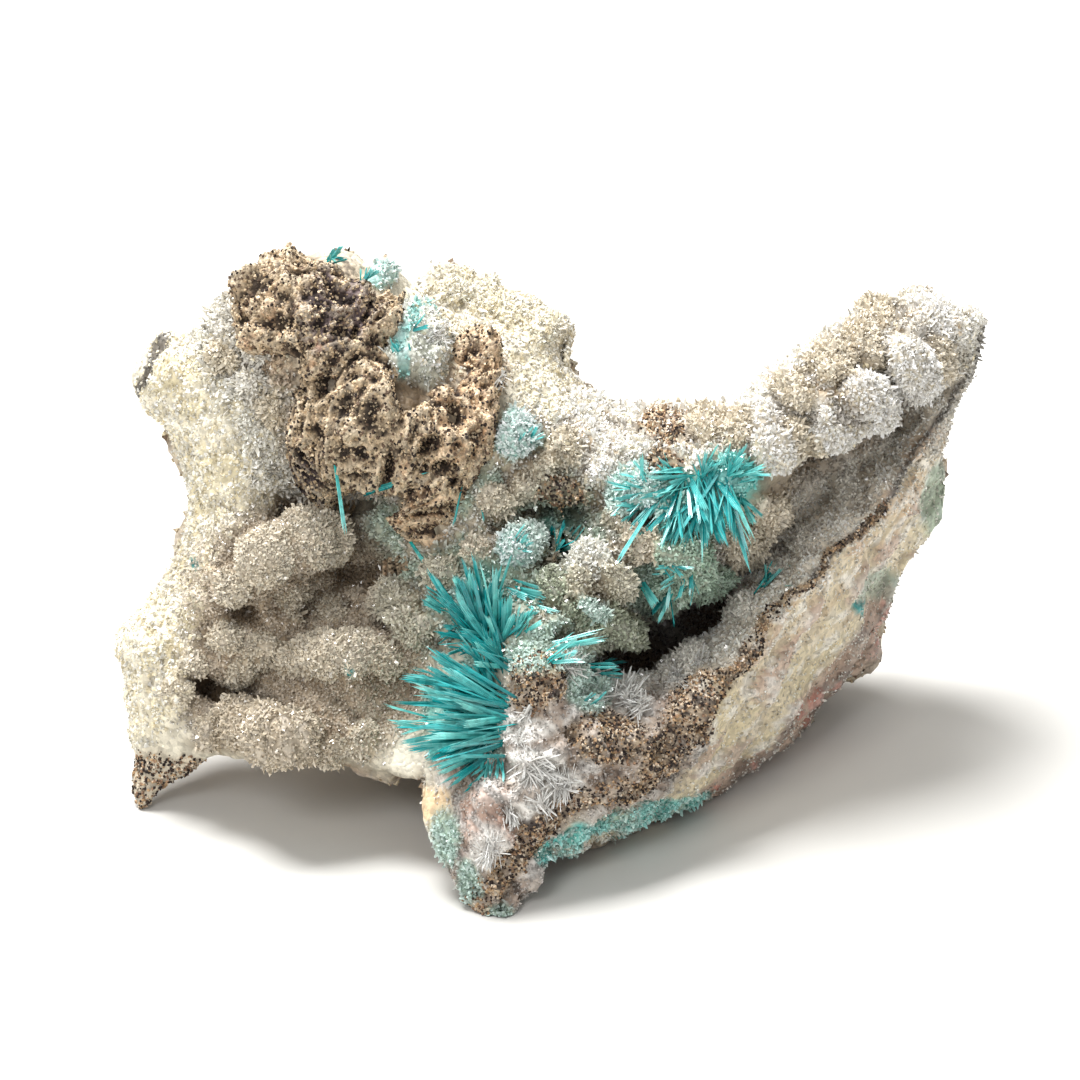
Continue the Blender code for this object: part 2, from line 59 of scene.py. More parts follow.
# Sections of the rock, left to right: upper rim and lower rim as (across, up, out), and the bow to the
# right between them.
STATIONS = (
    (-32.2, 36.3, -20, -32.2, 36.3, -20, 0), (-33.8, 41.9, -20, -32.8, 31.9, -20, 1.4),
    (-36.4, 45.1, -19, -35.5, 27.5, -20, 5.2), (-37.2, 47.3, -18.5, -38.5, 24.1, -20, 8.1),
    (-34.9, 50.9, -18, -37.7, 19.5, -20.5, 8), (-31.8, 50.5, -17, -37.1, 13.4, -20.5, 7.9),
    (-30.7, 51.6, -16.5, -36.8, 9.2, -19.6, 7.8), (-29.4, 54, -16, -34.8, 10.7, -19, 6.8),
    (-27.3, 53.9, -15.5, -32.2, 12.5, -18, 5.4), (-26.4, 55.6, -15, -30.2, 14, -16.5, 4.6),
    (-24.3, 56.9, -15, -27.8, 13.6, -14.5, 3.4), (-20.9, 57.7, -15, -24.3, 13.5, -13, 1.8),
    (-18.6, 58.3, -15.5, -20.8, 13.5, -12, 0.9), (-16.8, 57, -16, -17.2, 13.1, -10.5, 0),
    (-15, 57.6, -17, -14.2, 12.1, -8.5, 0), (-13, 55.6, -19, -11.5, 11.6, -7, 0),
    (-10.9, 57, -21.5, -11.6, 9.7, -4.5, 0), (-8, 56.7, -24, -11.1, 7, -3, 0),
    (-4.5, 54.9, -25, -8.3, 2.1, -1.5, 0), (-1, 53.3, -25, -4.7, -0.3, 0.3, 0),
    (1.1, 51.7, -24.5, -2.3, 2.5, -2, 0), (0.8, 49.9, -23.5, -1, 4.6, -3.5, 0),
    (0.9, 47.9, -22.5, 3, 6.2, -7.5, 0), (3.7, 45.1, -21, 5.8, 7.4, -11, 0),
    (9.2, 44, -20, 9.2, 8.7, -14.5, 0), (12.7, 44.4, -19.5, 13.1, 9.8, -19, 0),
    (16.4, 45.1, -20, 16.6, 12.3, -25, 0), (19.3, 47.4, -21, 21, 14.6, -30.7, 0),
    (21.7, 49.3, -22, 23.2, 18, -32, 0), (25, 51.7, -24, 27.5, 22.2, -34, 0),
    (28.5, 53.7, -26, 30.7, 29.7, -36, 0), (32, 54.5, -28, 34.3, 34.9, -36.5, 0),
    (34.7, 53.5, -30, 34.3, 40.7, -35.5, 0), (36.9, 53.2, -32, 36.4, 46.8, -34.5, 0),
    (38.2, 52.3, -33.5, 38.2, 52.3, -33.5, 0),
)

# Where the face stands, as (across, up, out) at each of its places.
FACE_PLACES = {
    "gossan": ((-19, 56, -11.5), (-22.5, 52.5, -9.5), (-16, 42.5, -7.5), (-8, 44.5, -9)),
    "left wall and foot": (
        (-28.5, 50, -12.5), (-30, 43.5, -12.5), (-28.5, 36.5, -12.5), (-32.5, 27.5, -14.5),
        (-33, 18.5, -14.5), (-35, 13.5, -17.5),
    ),
    "bowl and lip": (
        (-20, 35.5, -16), (-23.5, 31, -12.5), (-20, 27, -17), (-14.5, 31, -14.5), (-19, 21.5, -11.5),
        (-28, 23, -13.5), (-26.5, 18.5, -15.5), (-24.5, 15.5, -9.8), (-15.5, 15, -9), (-13.5, 19.5, -11),
    ),
    "middle, and beds of its sprays": ((-12, 25.5, -9), (-9.5, 31, -8.5), (-6, 25.5, -6.5), (-6.5, 18, -5)),
    "block": (
        (0.5, 23, -3), (0.5, 17, -0.5), (-6.5, 10.5, 0.5), (-6, 4.5, 0.8), (0.5, 10, -0.8), (7.5, 12.5, -4.5),
    ),
    "crest": (
        (12, 18.5, -9), (15, 21.7, -11.8), (18, 25, -14.5), (22, 28.7, -18), (26, 32.5, -21.5),
        (29.5, 36.8, -24.7), (33, 41.5, -28), (35.2, 45.6, -30.2), (37, 49.5, -32),
    ),
    "outer side": ((14.5, 14.5, -15), (21.5, 21.5, -21.5), (28.5, 30, -28.5), (32.5, 37, -31.5)),
    "dark hollow": ((7.5, 23.5, -17), (12.5, 25.5, -19)),
    "channel": ((18, 30, -20), (23, 35.5, -22.5), (29.5, 42.5, -26.5), (34.5, 47.5, -30.5)),
    "middle banks": ((4, 28.5, -7.5), (-1.5, 31, -8.5), (1, 34, -11.5), (0.5, 38, -10.5)),
    "round the right spray": ((12.5, 36.5, -9.5), (11, 30, -11), (18, 36.5, -13.5)),
    "upper bank and knobs": (
        (4, 41.5, -12.5), (11, 41.5, -11), (18, 41.5, -12), (26, 45, -14.5), (32, 49.5, -19.5),
        (28.5, 51.5, -21), (35.5, 51, -28.5),
    ),
    "blue and cream shoulders": (
        (-12.5, 50.5, -12.5), (-5, 50.5, -17.5), (-2.5, 46, -14), (-1.5, 41.5, -11.5), (-7.5, 54.5, -22),
    ),
}

# Where the back stands, in the same terms.
BACK_PLACES = {
    "left side and foot": ((-33, 45, -25), (-28.5, 36.5, -28), (-32, 23, -27), (-35, 13.5, -23)),
    "behind the bowl and lip": ((-22.5, 49.5, -26), (-22.5, 36.5, -32), (-22.5, 23, -29), (-20, 16, -20)),
    "behind the gossan, and spine": ((-15.5, 52, -29), (-6.5, 51, -34), (-6.5, 39, -41), (-6.5, 27.5, -45)),
    "rear foot": ((-8.5, 19.5, -46), (4, 19.5, -50)),
    "middle": ((4, 36.5, -41), (4, 27.5, -47)),
    "block": ((-3, 10, -19), (-5, 4, -7.5)),
    "right side": ((14.5, 40.5, -33), (14.5, 31, -42), (16, 20.5, -46)),
    "wing": ((25, 40.5, -39), (25, 27.5, -44), (30.5, 48.5, -35), (34.5, 48.5, -37)),
}

# Lumps and pits of the face: centre (across, up), half-widths, turn in degrees and height.
FACE_LUMPS = (
    ((-23.5, 31), (5.5, 2.4), 18, 1.6), ((-18, 22), (5.5, 2.4), 0, 1.6), ((-24.5, 15.6), (7.5, 1.6), 0, 1.4),
    ((-28, 19), (3.6, 1.3), -18, -2.4), ((-15, 25.6), (1.7, 1.7), 0, -1.8), ((-19.5, 35.6), (6, 1.6), 0, -2),
    ((-3.4, 32.8), (2.2, 2.2), 0, 1.8), ((3.5, 29.5), (2.4, 2.6), 0, 2), ((5.4, 25.8), (2.6, 2.2), 0, 2.4),
    ((-0.5, 34), (5, 1.6), 0, -1.8), ((-3.4, 42), (2.4, 2.4), 0, 1.6), ((-12.9, 50.6), (2.8, 2.8), 0, 1.4),
    ((18.5, 41.5), (3, 2.4), 0, 1.8), ((25.5, 44), (3, 2.2), 15, 2.2), ((31.5, 49), (3.2, 2.6), 0, 2.2),
    ((30, 46.2), (2.2, 1.6), 30, -2.2), ((9, 23.6), (6, 2.2), 10, -4), ((0.5, 21.5), (5, 2.4), 0, 1.4),
)

CREST = ((37.8, 52.0), (34.0, 43.0), (29.3, 36.0), (21.5, 28.3), (14.0, 20.4), (8.0, 14.5))
CHANNEL = ((9.0, 24.5), (16.0, 30.0), (22.0, 35.5), (28.0, 41.0), (33.5, 47.0))
FACE_RIDGES = ((CHANNEL, 2.6, -3.0), (CREST, 1.7, 2.0))


# Points, noise and masks


def turned(points):
    """Face-frame millimetres (across, up, out) as world metres: a turn about the across axis by
    FACE_LEAN, then a shift to the middle of the box."""
    across, up, out = np.moveaxis(np.asarray(points, float), -1, 0)
    back = up * math.sin(FACE_LEAN) - out * math.cos(FACE_LEAN)
    high = up * math.cos(FACE_LEAN) + out * math.sin(FACE_LEAN)
    return np.stack([across - CENTRE_ACROSS, back - CENTRE_BACK, high], axis=-1) * MM


def unit(vectors):
    """Vectors divided by their lengths."""
    return vectors / np.maximum(np.linalg.norm(vectors, axis=-1, keepdims=True), 1e-12)


def linear(red, green, blue):
    """A screen colour of 0 to 255 as the shader's linear numbers."""
    value = np.array([red, green, blue]) / 255.0
    return np.where(value < 0.04045, value / 12.92, ((value + 0.055) / 1.055) ** 2.4)


def hashed(i, j, k, seed):
    """A steady random number from 0 to 1 for each whole-number place: bits of the place mixed."""
    n = (i * 73856093) ^ (j * 19349663) ^ (k * 83492791) ^ (seed * 265443 + 12345)
    n = (n ^ (n >> 13)) * 1274126177
    n = (n ^ (n >> 16)) * 668265263
    return ((n ^ (n >> 15)) & 0xFFFFF) / 1048575.0


def noise(points, size, seed):
    """Smooth noise from -1 to 1 with features of this size: random corner values of a lattice, blended
    inside each cell."""
    place = points / size
    cell = np.floor(place).astype(np.int64)
    part = place - cell
    part = part * part * (3 - 2 * part)
    i, j, k = np.moveaxis(cell, -1, 0)
    u, v, w = np.moveaxis(part, -1, 0)
    total = 0.0
    for a in (0, 1):
        for b in (0, 1):
            for c in (0, 1):
                weight = (u if a else 1 - u) * (v if b else 1 - v) * (w if c else 1 - w)
                total = total + weight * hashed(i + a, j + b, k + c, seed)
    return 2 * total - 1


def rough(points, size, layers, seed):
    """Layers of noise, each half the size and just over half the height of the one before."""
    heights = 0.55 ** np.arange(layers)
    total = sum(h * noise(points, size / 2**n, seed + n) for n, h in enumerate(heights))
    return total / heights.sum()


def cells(points, size, seed):
    """Packed round bumps, one about each of the lattice's scattered centres. Gives the roundness, 1 on top
    and 0 in the seams as on half spheres, and a random number from 0 to 1 that is each bump's own."""
    place = points / size
    cell = np.floor(place).astype(np.int64)
    nearest = np.full(place.shape[:-1], 9.0)
    own = np.zeros(place.shape[:-1])
    for shift in itertools.product((-1, 0, 1), repeat=3):
        i, j, k = np.moveaxis(cell + np.array(shift), -1, 0)
        centre = np.stack([n + hashed(i, j, k, seed + s) for s, n in enumerate((i, j, k))], -1)
        apart = ((place - centre) ** 2).sum(-1)
        own = np.where(apart < nearest, hashed(i, j, k, seed + 3), own)
        nearest = np.minimum(nearest, apart)
    return np.sqrt(np.clip(1 - nearest / 0.8, 0, 1)), own


def lump(across, up, centre, half_widths, turn=0, height=1.0):
    """A bell-shaped bump, oval and turned."""
    a = math.radians(turn)
    x, y = across - centre[0], up - centre[1]
    along = (x * math.cos(a) + y * math.sin(a)) / half_widths[0]
    over = (y * math.cos(a) - x * math.sin(a)) / half_widths[1]
    return height * np.exp(-(along**2 + over**2))


def from_line(across, up, points):
    """The distance of each point from a line of points."""
    nearest = np.full(np.shape(across), np.inf)
    for (x0, y0), (x1, y1) in zip(points, points[1:]):
        dx, dy = x1 - x0, y1 - y0
        t = np.clip(((across - x0) * dx + (up - y0) * dy) / (dx * dx + dy * dy), 0, 1)
        nearest = np.minimum(nearest, np.hypot(across - x0 - t * dx, up - y0 - t * dy))
    return nearest


def band(across, up, points, half_width):
    """1 along a line of points, falling off like a bell over the half-width."""
    return np.exp(-((from_line(across, up, points) / half_width) ** 2))


def step(value, low, high):
    """0 below low, 1 above high, and a smooth rise between."""
    t = np.clip((value - low) / (high - low), 0, 1)
    return t * t * (3 - 2 * t)


def blend(base, shade, amount):
    """The base colour turned towards a screen colour by an amount from 0 to 1."""
    amount = np.clip(amount, 0, 1)[..., None]
    return base * (1 - amount) + linear(*shade) * amount


# The rock's form


def through(rows, count):
    """A smooth curve through the rows, read at count even places: a Catmull-Rom spline."""
    rows = np.asarray(rows, float)
    place = np.linspace(0, len(rows) - 1, count)
    i = np.minimum(place.astype(int), len(rows) - 2)
    t = (place - i)[:, None]
    before, here, after, last = (rows[np.clip(i + k, 0, len(rows) - 1)] for k in (-1, 0, 1, 2))
    return 0.5 * (
        2 * here
        + (after - before) * t
        + (2 * before - 5 * here + 4 * after - last) * t**2
        + (3 * here - before - 3 * after + last) * t**3
    )


def sheet_through(places):
    """A smooth sheet through the places, as a function of (across, up): a multiquadric surface."""
    across, up, out = np.concatenate([np.array(group, float) for group in places.values()]).T
    softness = 3.0

    def pull(a, b):
        spread = (a[..., None] - across) ** 2 + (b[..., None] - up) ** 2
        return np.sqrt(spread + softness**2)

    middle = out.mean()
    weights = np.linalg.solve(pull(across, up), out - middle)
    return lambda a, b: middle + pull(a, b) @ weights


face_sheet = sheet_through(FACE_PLACES)
back_sheet = sheet_through(BACK_PLACES)


def face_depth(across, up):
    """How far out the face stands: the sheet through its places plus its lumps and ridges."""
    total = face_sheet(across, up) + sum(lump(across, up, *row) for row in FACE_LUMPS)
    for points, half_width, height in FACE_RIDGES:
        total = total + height * band(across, up, points, half_width)
    return total


def from_ends(count):
    """How many rows each row of so many is away from the nearer end."""
    return np.minimum(np.arange(count), np.arange(count)[::-1])


def rock_grid(lengthwise, front_rows, back_rows):
    """The rock's skin as a grid of face-frame points: a row for each section, and round each section
    from the upper rim down the front and back up behind. Depth grows from the rim like a quarter
    circle. Away from the rim the back's sections are averaged with their neighbours."""
    sections = through(STATIONS, lengthwise)
    down = np.linspace(0, 1, front_rows + 1)
    down = 0.55 * down + 0.45 * (1 - np.cos(math.pi * down)) / 2
    rise = (1 + np.cos(np.linspace(0, math.pi, back_rows + 1)))[1:-1] / 2
    q = np.concatenate([down, rise])[None, :, None]
    on_front = np.arange(q.size)[None, :] <= front_rows
    even = np.ones(2 * EVENED + 1) / (2 * EVENED + 1)
    calm = np.stack([np.convolve(np.pad(side, EVENED, mode="edge"), even, "valid") for side in sections.T], -1)
    share = np.where(on_front[..., None], 0, 4 * q * (1 - q))
    share = share * step(from_ends(lengthwise)[:, None, None], 0, EVENED)
    sections_here = sections[:, None] * (1 - share) + calm[:, None] * share
    upper, lower, sweep = sections_here[..., 0:3], sections_here[..., 3:6], sections_here[..., 6]
    points = upper * (1 - q) + lower * q
    points[..., 0] += sweep * 4 * q[..., 0] * (1 - q[..., 0])
    across, up, rim = np.moveaxis(points, -1, 0)
    outline = np.concatenate([sections[::8, 0:2], sections[::-8, 3:5]])
    inwards = from_line(across, up, outline)
    inwards[:, [0, front_rows]] = 0.0
    depth = np.where(on_front, face_depth(across, up), back_sheet(across, up)) - rim
    edge = np.clip(inwards / np.where(on_front, FACE_EDGE, BACK_EDGE), 0, 1)
    points[..., 2] = rim + depth * np.sqrt(1 - (1 - edge) ** 2)
    return points


def grid_normals(points):
    """The outward direction at each grid point: the cross of the two neighbour steps, smoothed."""
    along = np.gradient(points, axis=0)
    round_it = np.roll(points, -1, axis=1) - np.roll(points, 1, axis=1)
    normals = np.cross(round_it, along)
    normals = normals + np.roll(normals, 1, 1) + np.roll(normals, -1, 1)
    normals[1:-1] = normals[1:-1] + normals[:-2] + normals[2:]
    normals = unit(normals)
    middle = normals[normals.shape[0] // 2, FRONT // 2]
    return normals if middle[2] > 0 else -normals


def spot(x, y):
    """A place of the face, in millimetres from the foot's tip, from where it shows in the picture."""
    return (x - FOOT_X) * PIXEL, (FOOT_Y - y) * PIXEL


def line(*spots):
    """Several such places in a row."""
    return tuple(spot(x, y) for x, y in spots)


# The rock before its relief, how far each point is from the rim, and the face as 1, fading where it
# wraps round onto the back. Places are shifted by noise, so that regions get soft and ragged edges.
base = rock_grid(ROWS, FRONT, BACK)
base_normals = grid_normals(base)
across, up = base[..., 0], base[..., 1]
on_front = (np.arange(base.shape[1]) <= FRONT)[None, :] & np.ones((ROWS, 1), bool)
rim_away = np.minimum(*[np.linalg.norm(base - base[:, n : n + 1], axis=-1) for n in (0, FRONT)])
front = np.where(on_front, 1.0, step(2.6 + 2.4 * rough(base, 3.0, 2, 17) - rim_away, 0, 1.2))
wander = np.stack([rough(base, 4.0, 4, s) for s in (11, 12)], -1)
a_soft, u_soft = across + 1.1 * wander[..., 0], up + 1.1 * wander[..., 1]
ragged = rough(base, 1.5, 2, 13)
a_near, u_near = across + 0.45 * wander[..., 0], up + 0.45 * wander[..., 1]


def patch(x, y, wide, tall, turn=0):
    """An oval region of the face with a soft ragged edge, from 0 to 1. Sizes are in picture pixels."""
    oval = lump(a_soft, u_soft, spot(x, y), (wide * PIXEL, tall * PIXEL), turn)
    return step(oval * 1.6, 0.35, 0.85)


def strip(half_width, *spots):
    """A region along a line of the face with a soft ragged edge, from 0 to 1."""
    near = band(a_soft, u_soft, line(*spots), half_width * PIXEL)
    return step(near * 1.5, 0.3, 0.9)


def either(*regions):
    """The union of regions: the greatest at each point."""
    return np.maximum.reduce(regions)


def ovals(*rows):
    """The union of oval regions, a row for each."""
    return either(*[patch(*row) for row in rows])


# Regions of the face, from 0 to 1.
left_hollow = ovals((290, 600, 112, 95), (250, 680, 78, 62), (350, 680, 84, 70))
left_shade = either(
    strip(12, (286, 506), (344, 520), (385, 560)), strip(11, (192, 678), (222, 694), (256, 708)),
    ovals((244, 618, 18, 10), (354, 640, 16, 8), (384, 622, 10, 14), (360, 574, 34, 12, 10)))
channel = either(
    strip(44, (640, 650), (700, 610), (770, 560), (830, 500), (890, 440), (940, 380)),
    strip(20, (668, 690), (716, 654), (760, 612), (810, 566), (856, 520), (905, 455)))
# The deep hollow right of the block: druse grows in it, and it is painted with shade
shaded_hollow = either(strip(17, (600, 652), (640, 644), (688, 622), (716, 600)), patch(640, 660, 40, 17))
bank_shade = either(
    strip(13, (768, 486), (800, 478), (836, 458), (872, 436)), patch(896, 400, 12, 20, -30),
    strip(8, (880, 432), (915, 396)))
outer_side = step(0.72 * (a_soft - 8.0) - 0.69 * (u_soft - 14.5), -0.2, 0.5) * front
block = ovals((540, 750, 110, 85, 30), (500, 850, 60, 75), (640, 750, 70, 50, 40)) * front
block_brown = either(
    ovals((537, 680, 30, 30), (606, 735, 42, 24), (694, 700, 40, 17, 40), (496, 638, 15, 10)),
    strip(12, (478, 896), (520, 848), (560, 810), (600, 788), (640, 780), (690, 722)),
    strip(10, (640, 765), (690, 715), (720, 676)), strip(7, (720, 676), (745, 650), (775, 614)),
    strip(3.5, (775, 614), (809, 580), (836, 557), (862, 530), (887, 504)))
block_white = ovals(
    (536, 766, 25, 19), (562, 786, 22, 14, 20), (490, 848, 22, 20, -30), (626, 692, 20, 16),
    (524, 724, 30, 12, -20), (520, 812, 16, 10))
mint_edge = either(
    ovals((555, 650, 62, 22, 5), (590, 690, 22, 24), (446, 838, 16, 30), (470, 880, 12, 22), (500, 908, 18, 10)),
    strip(8, (478, 650), (476, 700), (500, 750)))
rim_blue = either(strip(11, (548, 852), (590, 832), (636, 812)), strip(6, (640, 812), (705, 796)))
cream_left = either(patch(215, 420, 74, 120), strip(42, (200, 500), (175, 570), (150, 640), (140, 700)))
cream_top = ovals((500, 320, 90, 70), (560, 380, 50, 40))
bank = strip(46, (600, 430), (690, 420), (780, 405), (850, 372), (920, 335), (975, 325))
druse_gossan = ovals((240, 345, 46, 60), (270, 430, 30, 60), (330, 480, 60, 20))
gossan_bed = ovals((310, 320, 72, 76), (385, 430, 100, 62), (475, 375, 30, 40))
middle_brown = ovals((558, 492, 30, 14, -8), (662, 466, 20, 16), (662, 430, 26, 20))
middle_druse = ovals((560, 520, 120, 110), (420, 570, 62, 90), (680, 560, 90, 60))
left_foot = ovals((155, 784, 28, 34), (186, 768, 24, 12))
rind = either(strip(20, (905, 590), (880, 640), (838, 692), (790, 742)), strip(9, (770, 760), (705, 796)))
crest_line = band(
    a_near, u_near, line((988, 323), (967, 374), (951, 408), (928, 438), (907, 470), (887, 504), (857, 532),
    (836, 557), (809, 578)), 0.26)
top_left_dark = strip(5, (163, 338), (152, 372), (143, 392))
cream = either(cream_left, cream_top)
aqua = ovals(
    (482, 602, 34, 36), (464, 714, 40, 46), (692, 508, 44, 34), (655, 588, 40, 24), (560, 528, 26, 18),
    (612, 668, 28, 12), (734, 478, 30, 24))
# Pits of the middle, and a hole in the gossan, that are painted with shade
middle_pit_shade = ovals(
    (548, 566, 13, 9), (576, 536, 13, 10), (536, 514, 24, 8), (562, 638, 14, 8), (500, 528, 14, 8),
    (470, 470, 26, 7, 60), (640, 520, 12, 10), (760, 548, 14, 8), (610, 656, 18, 7), (740, 596, 24, 8, 20),
    (407, 396, 15, 17, 20))
broken = np.clip(either(block, outer_side) + (1 - front), 0, 1)

# Round crystal-covered balls: picture place, radius in pixels, height in mm, and tone where it isn't sand.
BALLS = (
    (518, 547, 19, 1.3, "ice"), (590, 566, 18, 1.6, "white"), (612, 584, 16, 1.5), (580, 590, 15, 1.1),
    (598, 622, 24, 1.8, "moss"), (620, 628, 18, 1.5, "moss"), (584, 640, 13, 1, "moss"),
    (516, 437, 20, 1.2, "ice"), (414, 346, 36, 2.2, "clear"), (430, 376, 15, 1, "clear"),
    (382, 276, 13, 0.8, "ice"), (864, 402, 25, 2.4, "white"), (827, 425, 20, 2, "white"),
    (770, 450, 20, 1.7, "white"), (798, 434, 17, 1.5), (912, 368, 24, 2.2, "white"), (934, 350, 15, 1.2),
    (934, 320, 18, 1, "white"), (862, 348, 20, 1.5), (880, 318, 16, 1), (830, 368, 19, 1.4),
    (796, 396, 18, 1.3), (762, 420, 16, 1.2, "white"), (736, 432, 16, 1), (706, 430, 16, 0.9),
    (398, 606, 25, 1.6), (418, 630, 18, 1.1), (444, 572, 16, 1.1), (476, 548, 13, 0.9),
    (552, 590, 16, 1.2, "moss"), (572, 612, 13, 0.9, "moss"), (640, 546, 18, 1.3),
    (682, 560, 26, 1.7, "olive"), (660, 590, 20, 1.4, "olive"), (710, 580, 18, 1.3, "olive"),
    (738, 548, 20, 1.2), (764, 510, 20, 1.3), (752, 532, 14, 0.9), (692, 657, 18, 1.2, "grey"),
    (668, 668, 14, 0.9, "grey"), (624, 520, 16, 1.1), (496, 500, 17, 1), (520, 486, 14, 0.8),
    (562, 450, 18, 1), (598, 476, 15, 0.9, "white"), (540, 470, 13, 0.8), (240, 328, 19, 1.1, "grey"),
    (226, 360, 15, 0.9), (254, 384, 17, 1, "grey"), (262, 350, 14, 0.8, "grey"), (272, 410, 15, 0.8),
    (356, 654, 20, 1.1), (326, 662, 19, 1.1), (296, 658, 17, 1), (258, 650, 19, 1), (226, 636, 16, 0.9),
    (240, 668, 15, 0.8), (390, 664, 16, 0.8), (218, 730, 17, 1.2), (246, 726, 18, 1.2), (276, 738, 20, 1.3),
    (306, 734, 17, 1.1), (332, 748, 16, 1), (362, 740, 17, 0.8), (192, 664, 14, 1.1), (176, 690, 14, 1),
    (262, 560, 20, 0.9), (300, 540, 22, 0.9), (330, 552, 18, 0.8), (238, 590, 17, 0.8), (300, 602, 17, 0.8),
    (332, 610, 15, 0.7), (480, 300, 20, 0.9, "cream"), (540, 330, 17, 0.8, "cream"),
    (450, 290, 16, 0.8, "cream"), (510, 312, 15, 0.7, "cream"), (740, 610, 16, 0.8, "grey"),
    (800, 540, 16, 0.7, "grey"), (732, 474, 21, 1.2, "aqua"), (636, 492, 27, 1.2, "pale"),
    (588, 604, 10, 0.9, "pale"), (466, 592, 14, 0.8, "pale"), (850, 486, 16, 0.7, "grey"),
    (780, 568, 14, 0.7, "grey"), (890, 440, 15, 0.6, "grey"),
)
TONES = {
    "white": ((232, 222, 202), (255, 252, 246)),
    "sand": ((186, 170, 144), (232, 222, 202)),
    "ice": ((150, 204, 198), (238, 250, 246)),
    "clear": ((192, 196, 182), (246, 248, 240)),
    "olive": ((128, 150, 124), (196, 220, 200)),
    "aqua": ((40, 176, 172), (168, 232, 224)),
    "pale": ((150, 200, 190), (228, 246, 240)),
    "grey": ((186, 178, 164), (240, 236, 226)),
    "moss": ((122, 128, 102), (192, 196, 172)),
    "cream": ((222, 212, 184), (248, 242, 226)),
}

# Forms that stand out of the face: picture place, half-widths in pixels, turn, height in mm.
FINE_FORMS = (
    (300, 546, 50, 22, 12, 2.2), (345, 655, 50, 26, 0, 0.9), (262, 735, 66, 18, -6, 1.2),
    (230, 590, 44, 22, 20, 0.8), (290, 605, 60, 16, 0, -0.9), (370, 575, 36, 12, 15, -1.2),
    (222, 694, 36, 10, -28, -2), (244, 618, 18, 10, 0, -1.8), (354, 640, 16, 8, 0, -1.2),
    (384, 622, 10, 14, 0, -1.3), (330, 508, 50, 10, 6, -1.6), (400, 680, 30, 40, 0, -0.6),
    (560, 548, 14, 12, 0, -1.4), (537, 514, 26, 8, 0, -1), (575, 520, 16, 12, 0, -1.2),
    (842, 450, 44, 9, 40, -1.6), (900, 398, 18, 10, 30, -1.8), (640, 655, 48, 16, 8, -2.4),
    (705, 616, 34, 14, 32, -1.8), (575, 655, 26, 10, 5, 1), (690, 740, 40, 10, 42, 0.7),
    (512, 800, 60, 30, 35, 0.5), (470, 462, 30, 10, 60, -1), (555, 492, 36, 12, -8, 0.8),
    (662, 436, 26, 20, 0, 0.7), (548, 566, 12, 8, 0, -1.4), (562, 638, 14, 8, 0, -1.2),
    (500, 528, 14, 8, 0, -1.2), (642, 520, 12, 10, 0, -1.2), (820, 462, 30, 8, 30, -1.6),
    (700, 700, 26, 12, 44, 0.8), (544, 682, 22, 26, -20, 0.9), (606, 738, 34, 22, 20, 0.8),
)

# The gossan's forms, in the same terms.
GOSSAN_FORMS = (
    (300, 300, 58, 42, -12, 3.6), (272, 326, 32, 34, 0, 3), (340, 335, 46, 40, 0, 3.2),
    (380, 322, 18, 30, 0, 2.4), (345, 384, 56, 30, 0, 3.2), (360, 436, 58, 50, 0, 4.8),
    (312, 452, 26, 50, 0, 3), (420, 448, 38, 32, 0, 3.8), (466, 440, 30, 32, 0, 3.4),
    (480, 398, 22, 40, -10, 3.2), (470, 354, 26, 20, 0, 2.8), (426, 512, 32, 34, 0, 3.4),
    (448, 482, 32, 22, 0, 3.2), (432, 412, 26, 22, 30, 2.6),
)
GOSSAN_HOLES = (
    (332, 388, 9, 10, 0, -2.6), (406, 398, 13, 15, 20, -3), (430, 438, 9, 8, 0, -2.6),
    (396, 452, 6, 12, 0, -1.8), (450, 420, 7, 14, 20, -2), (402, 500, 12, 8, 0, -1.8),
    (438, 530, 12, 5, 10, -1.6), (330, 300, 22, 14, 30, -1.2),
)


def standing(forms):
    """Forms as flat-topped ovals with steep sides: a fourth power inside the bell."""
    total = np.zeros(across.shape)
    for x, y, wide, tall, turn, height in forms:
        centre, a = spot(x, y), math.radians(turn)
        dx, dy = a_near - centre[0], u_near - centre[1]
        along = (dx * math.cos(a) + dy * math.sin(a)) / (wide * PIXEL)
        over = (dy * math.cos(a) - dx * math.sin(a)) / (tall * PIXEL)
        total += height * np.exp(-((along**2 + over**2) ** 2))
    return total * front


def ball_reach(x, y, radius):
    """1 at a ball's middle and 0 past its edge, as a half sphere rises."""
    centre = spot(x, y)
    apart = np.hypot(a_near - centre[0], u_near - centre[1]) / (radius * PIXEL) + 0.32 * ragged
    return np.sqrt(np.clip(1 - apart**2, 0, 1)) * front


nodules, _ = cells(base, 2.7, 5)
lumps, lump_own = cells(base, 1.15, 9)
run = np.stack([0.69 * up - 0.72 * across, 0.3 * (0.69 * across + 0.72 * up), 0.5 * base[..., 2]], -1)
_, slab_own = cells(run + 0.4 * wander[..., :1], 1.3, 15)
_, chunk_own = cells(base, 2.4, 19)
blocks, block_own = cells(base + 1.2 * rough(base, 6.0, 2, 25)[..., None], 6.5, 27)


